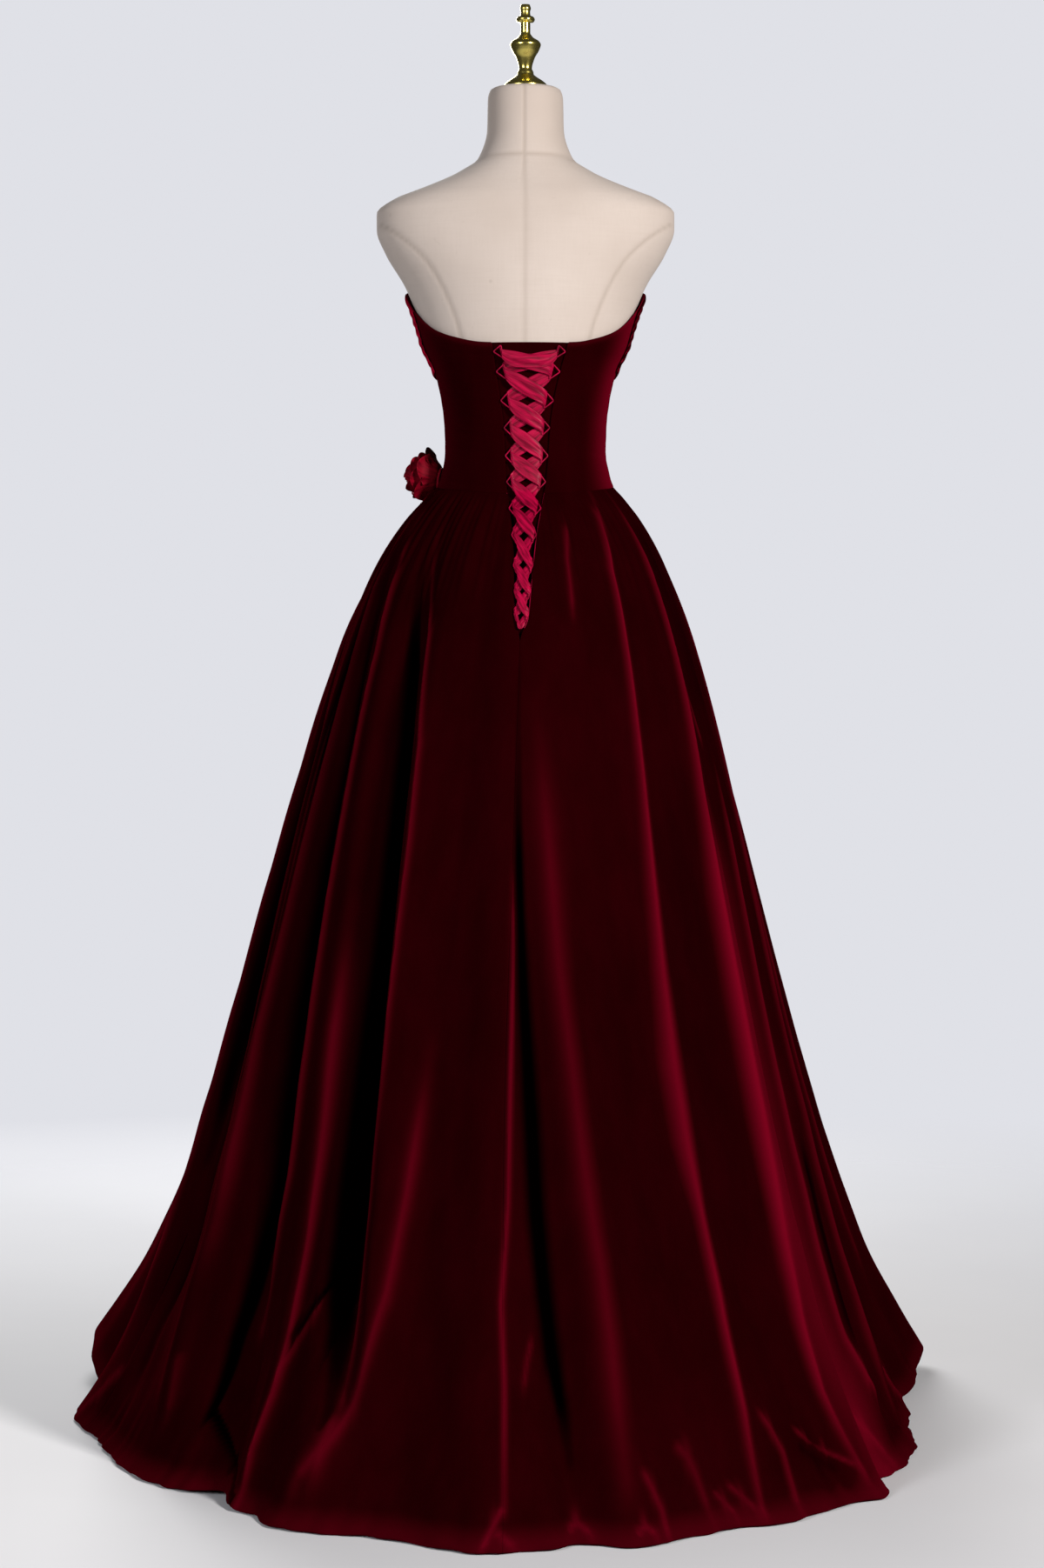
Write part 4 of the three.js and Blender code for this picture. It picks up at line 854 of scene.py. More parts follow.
class Shade:
    """A material's node tree, with short ways to add nodes to it."""

    def __init__(self, tree: NodeTree) -> None:
        """Wraps a tree."""
        self.tree = tree

    def node(self, kind: str, values: dict[str | int, object] | None = None, **settings: object) -> Node:
        """Adds a node.

        Args:
            kind: The node's type without its ShaderNode prefix.
            values: Input names or numbers with a value, or with a socket to link from.
            settings: The node's own properties.

        Returns:
            The node.
        """
        made = self.tree.nodes.new("ShaderNode" + kind)
        for name, value in settings.items():
            setattr(made, name, value)
        for name, value in (values or {}).items():
            if isinstance(value, NodeSocket):
                self.tree.links.new(value, made.inputs[name])
            else:
                made.inputs[name].default_value = value
        return made

    def link(self, node: Node, ends: dict[str, NodeSocket]) -> None:
        """Links sockets into a node's inputs by their names."""
        for label, end in ends.items():
            self.tree.links.new(end, node.inputs[label])

    def object_place(self) -> NodeSocket:
        """The place on the object, in metres."""
        return self.node("TexCoord").outputs["Object"]

    def stretched(self, place: NodeSocket, scale: Triple) -> NodeSocket:
        """The same places with each axis scaled."""
        return self.node("Mapping", {"Vector": place, "Scale": scale}).outputs["Vector"]

    def noise(self, place: NodeSocket, scale: object, detail: float, **more: float) -> NodeSocket:
        """Cloudy noise; more holds its roughness or distortion."""
        values = {"Vector": place, "Scale": scale, "Detail": detail}
        values.update({label.title(): value for label, value in more.items()})
        return self.node("TexNoise", values).outputs["Fac"]

    def sum(self, one: object, two: object) -> NodeSocket:
        """Two numbers added."""
        return self.node("Math", {0: one, 1: two}, operation="ADD").outputs[0]

    def times(self, one: object, two: object, **settings: bool) -> NodeSocket:
        """Two numbers multiplied."""
        return self.node("Math", {0: one, 1: two}, operation="MULTIPLY", **settings).outputs[0]

    def most(self, one: object, two: object) -> NodeSocket:
        """The larger of two numbers."""
        return self.node("Math", {0: one, 1: two}, operation="MAXIMUM").outputs[0]

    def painted(self, name: str) -> NodeSocket:
        """A number kept on the mesh's points."""
        return self.node("Attribute", attribute_name=name).outputs["Fac"]

    def relief(self, height: object, strength: float, distance: float, **under: NodeSocket) -> NodeSocket:
        """A relief in the surface's normal, on top of another one if Normal is given."""
        values = {"Height": height, "Strength": strength, "Distance": distance, **under}
        return self.node("Bump", values).outputs["Normal"]

    def ramp(self, source: NodeSocket, stops: tuple[tuple[float, float], ...]) -> NodeSocket:
        """A grey ramp: its stops are places and brightnesses."""
        ramp = self.node("ValToRGB", {"Fac": source})
        elements = ramp.color_ramp.elements
        while len(elements) < len(stops):
            elements.new(0.5)
        for element, (place, value) in zip(elements, stops):
            element.position = place
            element.color = (value, value, value, 1)
        return ramp.outputs["Color"]

    def mix(self, share: NodeSocket, one: object, two: object) -> NodeSocket:
        """A mix of two colours by a share."""
        return self.node("Mix", {0: share, 6: one, 7: two}, data_type="RGBA").outputs[2]


def new_group(
    name: str, inputs: dict[str, float], outputs: tuple[str, ...]
) -> tuple[Shade, bpy.types.NodeInputs, Node]:
    """An empty shader group of number sockets.

    Args:
        name: The group's name.
        inputs: Its inputs with their usual values.
        outputs: Its outputs.

    Returns:
        The group's node maker, its inputs' sockets and its output node.
    """
    tree = bpy.data.node_groups.new(name, "ShaderNodeTree")
    for label, value in inputs.items():
        socket = tree.interface.new_socket(name=label, in_out="INPUT", socket_type="NodeSocketFloat")
        socket.default_value = value
    for label in outputs:
        tree.interface.new_socket(name=label, in_out="OUTPUT", socket_type="NodeSocketFloat")
    return Shade(tree), tree.nodes.new("NodeGroupInput").outputs, tree.nodes.new("NodeGroupOutput")


def pile_group() -> NodeTree:
    """The nap of pile cloth: broad brushed patches, streaks down the cloth, and the pile's own grain."""
    scales = {"Patch Scale": 6.0, "Streak Scale": 30.0, "Grain Scale": 1400.0}
    shade, given, out = new_group("brushed nap", scales, ("Brushed", "Height"))
    place = shade.object_place()
    patch = shade.noise(place, given["Patch Scale"], 4.0, roughness=0.55)
    streak = shade.noise(shade.stretched(place, (1, 1, 0.22)), given["Streak Scale"], 3.0, roughness=0.6)
    patches = shade.ramp(patch, ((0.36, 0.0), (0.66, 1.0)))
    streaks = shade.ramp(streak, ((0.4, 0.0), (0.68, 1.0)))
    grain = shade.noise(place, given["Grain Scale"], 2.0)
    shade.link(out, {"Brushed": shade.times(shade.sum(patches, streaks), 0.5), "Height": grain})
    return shade.tree


def weave_group() -> NodeTree:
    """A plain weave: crossing threads of uneven thickness."""
    scales = {"Thread Scale": 520.0, "Unevenness": 0.35}
    shade, given, out = new_group("plain weave", scales, ("Height", "Slub"))
    place = shade.object_place()
    threads = {"Vector": place, "Scale": given["Thread Scale"]}
    across, upright = (shade.node("TexWave", threads, bands_direction=way).outputs["Fac"] for way in "XZ")
    ways = ((1, 1, 0.06), (0.06, 0.06, 1))
    one, two = (shade.noise(shade.stretched(place, way), 420.0, 2.0) for way in ways)
    slub = shade.times(shade.sum(one, two), 0.5)
    height = shade.sum(shade.most(across, upright), shade.times(slub, given["Unevenness"]))
    shade.link(out, {"Height": height, "Slub": slub})
    return shade.tree


def new_finish(name: str, constants: dict[str, object]) -> tuple[Material, Shade, Node]:
    """A material with its shader's constant values set.

    Args:
        name: The material's name.
        constants: Values for the shader's own sockets.

    Returns:
        The material, its node maker and its shader.
    """
    material = bpy.data.materials.new(name)
    material.use_nodes = True
    shader = material.node_tree.nodes["Principled BSDF"]
    for label, value in constants.items():
        shader.inputs[label].default_value = value
    return material, Shade(material.node_tree), shader


@dataclass(frozen=True)
class Velvet:
    """Deep crimson velvet with a soft sheen."""

    name: str = "crimson_velvet"
    dark: Colour = (0.0108, 0.0001, 0.0004, 1)
    bright: Colour = (0.0165, 0.0001, 0.0008, 1)
    # The painted highlight's colour and the painted shade's colour, mixed in by the painted light kept on the
    # points.
    painted_highlight: Colour = (0.125, 0.0009, 0.008, 1)
    painted_shade: Colour = (0.0002, 0.0, 0.0, 1)
    tint: Colour = (0.85, 0.004, 0.05, 1)
    sheen: float = 0.1
    sheen_roughness: float = 0.24
    grain: float = 0.28
    grain_deep: float = 0.0006

    def make(self, pile: NodeTree) -> Material:
        """Builds the material on the nap group."""
        material, shade, shader = new_finish(self.name, {
            "Roughness": 0.9, "Specular IOR Level": 0.0, "Sheen Weight": self.sheen,
            "Sheen Roughness": self.sheen_roughness, "Sheen Tint": self.tint,
        })
        nap_and_painted_light = shade.node("Group", node_tree=pile)
        colour = shade.mix(nap_and_painted_light.outputs["Brushed"], self.dark, self.bright)
        # The painted light on the points mixes in the painted highlight colour above 0 and the painted shade
        # colour below 0.
        painted_light_share = shade.painted("nap_and_painted_light")
        colour = shade.mix(shade.most(painted_light_share, 0.0), colour, self.painted_highlight)
        colour = shade.mix(shade.times(painted_light_share, -1.0, use_clamp=True), colour, self.painted_shade)
        grain = shade.relief(nap_and_painted_light.outputs["Height"], self.grain, self.grain_deep)
        shade.link(shader, {"Base Color": colour, "Normal": grain})
        return material


@dataclass(frozen=True)
class Satin:
    """Satin with fine threads along its length and soft puckers."""

    name: str
    dark: Colour
    bright: Colour
    roughness: float
    pucker: float
    gloss: float

    def make(self) -> Material:
        """Builds the material."""
        material, shade, shader = new_finish(self.name, {
            "Specular IOR Level": self.gloss, "Anisotropic": 0.45, "Sheen Weight": 0.2,
            "Sheen Roughness": 0.4, "Sheen Tint": self.bright, "Coat Roughness": 0.3,
        })
        uv = shade.node("UVMap").outputs["UV"]
        threads = shade.noise(shade.stretched(uv, (1, 0.05, 1)), 900.0, 2.0)
        folds = shade.noise(shade.stretched(uv, (1, 0.16, 1)), 210.0, 2.0, distortion=0.3)
        # The colour follows the same noise as the puckers' relief: painted shade in them and painted
        # highlight on them.
        colour = shade.mix(shade.ramp(folds, ((0.34, 0.0), (0.66, 1.0))), self.dark, self.bright)
        rough = shade.sum(shade.times(threads, 0.14), self.roughness - 0.07)
        fine = shade.relief(threads, 0.12, 0.0003)
        broad = shade.relief(folds, self.pucker, 0.0012, Normal=fine)
        shade.link(shader, {"Base Color": colour, "Roughness": rough, "Normal": broad})
        return material


@dataclass(frozen=True)
class Linen:
    """Undyed linen stretched over the form, with its seams and a few specks."""

    name: str = "natural_linen"
    pale: Colour = (0.555, 0.475, 0.42, 1)
    warm: Colour = (0.49, 0.41, 0.355, 1)
    seam: Colour = (0.36, 0.29, 0.24, 1)
    seam_share: float = 0.55

    def make(self, weave: NodeTree) -> Material:
        """Builds the material on the weave group."""
        material, shade, shader = new_finish(self.name, {
            "Roughness": 0.88, "Specular IOR Level": 0.25, "Sheen Weight": 0.12, "Sheen Roughness": 0.6,
        })
        woven = shade.node("Group", node_tree=weave)
        place = shade.object_place()
        cloud = shade.ramp(shade.noise(place, 5.0, 3.0), ((0.4, 0.0), (0.72, 1.0)))
        colour = shade.mix(cloud, self.pale, self.warm)
        slub = shade.ramp(woven.outputs["Slub"], ((0.42, 0.0), (0.7, 0.4)))
        colour = shade.mix(slub, colour, self.warm)
        speck = shade.ramp(shade.noise(place, 85.0, 1.0), ((0.74, 0.0), (0.84, 0.35)))
        colour = shade.mix(speck, colour, self.seam)
        colour = shade.mix(shade.times(shade.painted("seam"), self.seam_share), colour, self.seam)
        thread = shade.relief(woven.outputs["Height"], 0.25, 0.0004)
        shade.link(shader, {"Base Color": colour, "Normal": thread})
        return material


@dataclass(frozen=True)
class Metal:
    """Polished or painted metal with faint handling marks."""

    name: str
    colour: Colour
    dull: Colour
    metallic: float
    roughness: float

    def make(self) -> Material:
        """Builds the material."""
        material, shade, shader = new_finish(self.name, {"Metallic": self.metallic})
        mask = shade.ramp(shade.noise(shade.object_place(), 60.0, 5.0), ((0.45, 0.0), (0.75, 1.0)))
        colour = shade.mix(mask, self.colour, self.dull)
        rough = shade.sum(shade.times(mask, 0.12), self.roughness)
        shade.link(shader, {"Base Color": colour, "Roughness": rough})
        return material


@dataclass
class Wardrobe:
    """All the finishes of the piece."""

    velvet: Material = field(init=False)
    draped: Material = field(init=False)
    ribbon: Material = field(init=False)
    rose: Material = field(init=False)
    linen: Material = field(init=False)
    brass: Material = field(init=False)
    iron: Material = field(init=False)

    def __post_init__(self) -> None:
        """Makes every material once."""
        pile = pile_group()
        self.velvet = Velvet().make(pile)
        # The drape's velvet has a brighter painted highlight colour.
        self.draped = Velvet("draped_velvet", painted_highlight=(0.46, 0.004, 0.03, 1)).make(pile)
        dark, bright = (0.14, 0.0006, 0.014, 1), (0.40, 0.002, 0.04, 1)
        self.ribbon = Satin("crimson_satin", dark, bright, roughness=0.4, pucker=0.5, gloss=0.08).make()
        dark, bright = (0.1, 0.0008, 0.006, 1), (0.25, 0.002, 0.013, 1)
        self.rose = Satin("rose_satin", dark, bright, roughness=0.55, pucker=0.4, gloss=0.05).make()
        self.linen = Linen().make(weave_group())
        self.brass = Metal("polished_brass", (0.84, 0.70, 0.17, 1), (0.66, 0.53, 0.14, 1), 1.0, 0.2).make()
        self.iron = Metal("black_iron", (0.02, 0.019, 0.018, 1), (0.06, 0.05, 0.045, 1), 0.4, 0.45).make()


# ---------------------------------------------------------------- the dress form


@dataclass
class DressForm:
    """The padded form with its seams, its finial and its stand."""

    columns: int = 216
    rows: int = 150
    # Heights of the body's lower edge, its neck and its cap, and the rings of points that close both ends.
    foot: float = 990.0
    neck: float = 1700.0
    cap: float = 1720.0
    foot_rings: int = 6
    neck_rows: int = 16
    cap_rings: int = 7
    seam_deep: float = 0.8
    seam_wide: float = 2.3
    centre_seam: float = 1.5
    side_degree: float = 3.0  # Millimetres of cloth for a degree round the side.
    shoulder_tip: float = 1546.0
    neck_seam: float = 1624.0
    finial_tall: float = 107.0
    finial_gap: float = 0.3
    # Half the width of the back and front between the seams that run from the shoulder tips, at each height.
    side_back: Curve = Curve((
        (1000, 62), (1100, 66), (1220, 56), (1300, 64), (1399, 82), (1425, 90), (1458, 104), (1493, 125),
        (1520, 152), (1545, 186),
    ))
    finial_rows: Curve = Curve((
        (0, 28), (3.5, 28), (5, 27), (9, 22.5), (14, 15), (18, 10.6), (21, 10.2), (25, 8.3), (38, 11.5),
        (49, 17.5), (56, 19.7), (60, 17.5), (65, 10), (71, 6.2), (84, 6.2), (85, 10.6), (88, 12), (91, 10.6),
        (93, 6.5), (98, 6), (102, 7), (107, 5.6),
    ))

    def build(self, finishes: Wardrobe, nodes: dict[str, Object]) -> None:
        """Builds the form and gives the stand its finish.

        Args:
            finishes: The materials.
            nodes: The loaded nodes by name.
        """
        dress(self.torso(), finishes.linen, Slot.LINEN, "form_torso")
        dress(self.finial(), finishes.brass, Slot.BRASS, "form_finial")
        for name in ("stand_pole", "stand_base"):
            mesh = nodes[name].data
            mesh.materials.clear()
            mesh.materials.append(finishes.iron)
            LOG.info("%s keeps its own shape", name)

    def torso(self) -> Object:
        """The body with its neck: closed at both ends, with every seam pressed in."""
        up = np.concatenate([
            np.full(self.foot_rings, self.foot), np.linspace(self.foot, self.neck, self.rows),
            np.linspace(self.neck + 1, self.cap, self.neck_rows), np.full(self.cap_rings, self.cap),
        ])
        shrink = np.concatenate([
            np.linspace(0.0, 0.97, self.foot_rings), np.ones(self.rows + self.neck_rows),
            np.linspace(0.96, 0.0, self.cap_rings),
        ])
        angle, height = np.meshgrid(np.linspace(0, 360, self.columns + 1), up)
        plain = FORM.point(angle, height, 0.0)
        sewn = self.seams(angle, plain)
        points = FORM.point(angle, height, -self.seam_deep * sewn)
        points[..., :2] *= shrink[:, None, None]
        obj = sheet_mesh("dress_form_body", points, (0.62, 0.75))
        paint(obj, "seam", sewn * (shrink[:, None] > 0.99))
        only(obj)
        bpy.ops.object.mode_set(mode="EDIT")
        bpy.ops.mesh.select_all(action="SELECT")
        bpy.ops.mesh.remove_doubles(threshold=0.00002)
        bpy.ops.mesh.normals_make_consistent(inside=False)
        bpy.ops.object.mode_set(mode="OBJECT")
        bpy.ops.object.shade_smooth_by_angle(angle=math.radians(60))
        return obj

    def seams(self, angle: np.ndarray, points: np.ndarray) -> np.ndarray:
        """How much of a seam there is at each place, from 0 to 1.

        Args:
            angle: Ellipse angles.
            points: The places.

        Returns:
            The seams' share.
        """
        x, up, far = points[..., 0], points[..., 2], 1e3
        below = up < self.neck_seam
        centre = np.where(np.cos(np.radians(angle)) > 0, np.abs(x - self.centre_seam), far)
        sides = np.abs(turn(90, np.abs(turn(0, angle)))) * self.side_degree
        slant = np.hypot(1, (self.side_back.at(up + 4) - self.side_back.at(up - 4)) / 8)
        shoulder = np.abs(np.abs(x) - self.side_back.at(up)) / slant
        shoulder = np.where(up < self.shoulder_tip, shoulder, far)
        neck = np.abs(up - (self.neck_seam + 4 * np.cos(np.radians(angle))))
        gap = np.minimum(np.minimum(centre, np.where(below, sides, far)), np.where(below, shoulder, far))
        return hump(np.minimum(gap, neck), self.seam_wide)

    def finial(self) -> Object:
        """The turned finial: a disc carried up the axis, step by step."""
        steps = [0.6, 2.5, 84.0, 85.0, 91.0, 93.0]
        heights = np.unique(np.concatenate([np.linspace(0, self.finial_tall, 90), steps]))
        radii = self.finial_rows.at(heights)
        foot = (0, 0, (self.cap + self.finial_gap) * MM)
        bpy.ops.object.select_all(action="DESELECT")
        bpy.ops.mesh.primitive_circle_add(vertices=64, radius=radii[0] * MM, fill_type="NGON", location=foot)
        obj = bpy.context.object
        obj.name = obj.data.name = "neck_finial"
        bpy.ops.object.transform_apply(location=True, rotation=True, scale=True)
        bpy.ops.object.mode_set(mode="EDIT")
        bpy.ops.mesh.select_all(action="SELECT")
        for low, high, inner, outer in zip(heights, heights[1:], radii, radii[1:]):
            bpy.ops.mesh.extrude_region_move(TRANSFORM_OT_translate={"value": (0, 0, (high - low) * MM)})
            ratio = outer / inner
            bpy.ops.transform.resize(value=(ratio, ratio, 1), center_override=(0, 0, (self.cap + high) * MM))
        bpy.ops.mesh.select_all(action="SELECT")
        bpy.ops.mesh.normals_make_consistent(inside=False)
        bpy.ops.object.mode_set(mode="OBJECT")
        bpy.ops.object.shade_smooth_by_angle(angle=math.radians(40))
        return obj


# ---------------------------------------------------------------- the bodice


@dataclass
class Bodice:
    """The bodice's back and front panels, the pleated drape over the bust and the modesty panel."""

    side_seam: float = 78.0
    cloth: float = 1.8
    out: float = 4.6
    tuck: float = 0.6
    gap: float = 0.03
    drape_gap: float = 0.1
    # How far the cloth is pulled and rolled, the painted light on the right and on the left back panel, and
    # the painted highlight along the top edge.
    pull: float = 0.28
    rolled_top: float = 0.5
    rolled_foot: float = 0.7
    laced_fold: float = 0.5
    painted_light: tuple[float, float] = (0.9, 0.25)
    painted_rim_highlight: float = 0.16
    top_edge: Curve = Curve((
        (0, 1387), (20, 1389), (40, 1397), (58, 1409), (75, 1429), (90, 1453), (105, 1462), (130, 1470),
        (150, 1474), (168, 1452), (180, 1434),
    ))
    drape_foot: Curve = Curve(((78, 1356), (110, 1346), (150, 1332), (180, 1322)))
    pleats: int = 8
    drape_lift: float = 5.6
    drape_thick: float = 1.4
    modesty_thick: float = 1.1
    modesty_top: float = 1388.0
    modesty_lap: tuple[float, float] = (4.0, 14.0)
    modesty_lift: float = 1.7
    modesty_sink: float = 3.0

    def build(self, finishes: Wardrobe) -> None:
        """Builds the bodice's pieces."""
        for side, name in ((1, "bodice_back_right"), (-1, "bodice_back_left")):
            panel = dress(self.back(side, name + "_velvet"), finishes.velvet, Slot.VELVET, name)
        front = dress(self.front(), finishes.velvet, Slot.VELVET, "bodice_front")
        drape = dress(self.drape(), finishes.draped, Slot.VELVET, "bust_drape")
        modesty = dress(self.modesty(), finishes.velvet, Slot.VELVET, "modesty_panel")

    def top(self, angle: np.ndarray) -> np.ndarray:
        """Height of the top edge at an ellipse angle."""
        return self.top_edge.at(np.abs(turn(0, angle)))

    def slack(self, angle: np.ndarray, up: np.ndarray, share: np.ndarray) -> np.ndarray:
        """Slight pulls across the cloth, and its rolled top and bottom edges."""
        pulls = ripple(up * 2.2 + angle * 0.5, 61, 8, 26) * self.pull
        roll = self.rolled_top * hump(1 - share, 0.018) + self.rolled_foot * hump(share, 0.02)
        return pulls + roll

    def round_front(self, across: np.ndarray, gap: float) -> np.ndarray:
        """Ellipse angles round the front, from a gap past one side seam to the other."""
        return self.side_seam + gap + (360 - 2 * self.side_seam - 2 * gap) * across

    def back(self, side: int, name: str) -> Object:
        """One back panel, from the laced opening to the side seam.

        Args:
            side: 1 towards -X, -1 towards +X.
            name: The piece's name.

        Returns:
            The panel.
        """
        share, across = grid(56, 40)
        start = self.laced_edge(side, np.full_like(share, FORM.waist_high))
        end = side * (self.side_seam - self.gap)
        angle = start + (end - start) * across
        low = FORM.waist_up(FORM.compass_of(angle)) - self.tuck
        up = low + (self.top(angle) - low) * share
        start = self.laced_edge(side, up)
        angle = start + (end - start) * across
        fold = self.laced_fold * hump(across, 0.03)
        points = FORM.point(angle, up, self.out + self.slack(angle, up, share) + fold)
        # Painted light: brighter towards the side seam, strong on the right panel and weak on the left, with
        # a painted highlight along the top edge.
        lit = self.painted_light[0] if side > 0 else self.painted_light[1]
        nap_and_painted_light = lit * smooth(across, 0.38, 1.04) ** 1.4 + self.painted_rim_highlight * smooth(share, 0.955, 0.99)
        return cloth(name, points, (0.16, 0.25), self.cloth, nap_and_painted_light)

    def laced_edge(self, side: int, up: np.ndarray) -> np.ndarray:
        """The ellipse angle of the edge beside the laced opening."""
        x = OPENING.edge(side, up, 0.0)
        half = FORM.side.at(up) + self.out - self.cloth / 2
        return np.degrees(np.arcsin(-x / half))

    def front(self) -> Object:
        """The front panel, from side seam to side seam."""
        share, across = grid(44, 84)
        angle = self.round_front(across, self.gap)
        low = FORM.waist_up(FORM.compass_of(angle)) - self.tuck
        up = low + (self.top(angle) - low) * share
        points = FORM.point(angle, up, self.out + self.slack(angle, up, share))
        # Painted light on the front: a broad painted highlight on one side and a painted highlight along the
        # top edge.
        lit = 0.35 * hump(turn(-205, angle), 55) + 0.12 * smooth(share, 0.955, 0.99)
        # The painted light of each back panel runs on past its side seam and fades.
        for side, strong in ((1, 0.86), (-1, 0.22)):
            lit = lit + strong * hump(turn(side * self.side_seam, angle), 19)
        return cloth("bodice_front_velvet", points, (0.39, 0.26), self.cloth, np.clip(lit, 0, 1))

    def drape(self) -> Object:
        """The drape over the bust: uneven pleats that run across and lap downwards."""
        share, across = grid(66, 80)
        angle = self.round_front(across, self.drape_gap)
        low = self.drape_foot.at(np.abs(turn(0, angle)))
        up = low + (self.top(angle) - low) * share
        wander = 0.05 * ripple(angle, 71, 3, 9) * np.sin(math.pi * share)
        phase = (share + wander) * self.pleats
        within = phase - np.floor(phase)
        pleat = np.minimum(within / 0.3, (1 - within) / 0.7)
        deep = 2.6 + 0.8 * ripple(angle + 40 * np.floor(phase), 73, 4, 12)
        calm = 1 - 0.62 * (1 - smooth(np.minimum(across, 1 - across), 0.03, 0.2))
        lift = self.drape_lift + np.clip(deep, 0.8, 3.6) * calm * smooth(pleat, 0, 1) + self.drape_thick
        lift -= 1.2 * hump(1 - share, 0.02)
        points = FORM.point(angle, up, lift)
        # Painted light: a painted highlight on each pleat's crest, stronger towards one side, and a painted
        # highlight along the far end.
        crest = smooth(pleat, 0.35, 0.95) * (0.7 + 0.3 * ripple(angle * 3 + 70 * np.floor(phase), 79, 9, 40))
        lit = lerp(0.3, 0.7, smooth(across, 0.6, 0.95))
        nap_and_painted_light = np.clip(crest * lit + 0.45 * smooth(across, 0.86, 0.97), 0, 1)
        return cloth("bust_drape_velvet", points, (0.40, 0.13), self.drape_thick, nap_and_painted_light)

    def modesty(self) -> Object:
        """The panel behind the lacing."""
        kink = float(FORM.waist_up(0.0)) + 1
        low = kink + (OPENING.tip + 3 - kink) * np.linspace(0, 1, 40)[1:] ** 1.3
        up_rows = np.concatenate([np.linspace(self.modesty_top, kink, 48), low])
        up, across = grid(up_rows, np.linspace(-1, 1, 31))
        lap = lerp(*self.modesty_lap, smooth(up, OPENING.tip, kink))
        x = OPENING.middle.at(up) + across * (OPENING.half.at(up) + lap)
        lift = self.modesty_lift - self.modesty_sink * (1 - smooth(up, kink - 68, kink - 4))
        lift = lift + 0.22 * ripple(up * 3 + across * 9, 83, 10, 26)
        return cloth("modesty_panel_velvet", OPENING.point(x, up, lift), (0.12, 0.38), self.modesty_thick)


# ---------------------------------------------------------------- the lacing


@dataclass(frozen=True)
class Loop:
    """A loop that holds the ribbon: its height, how far it reaches in from the edge, and its own length."""

    up: float
    reach: float
    tall: float


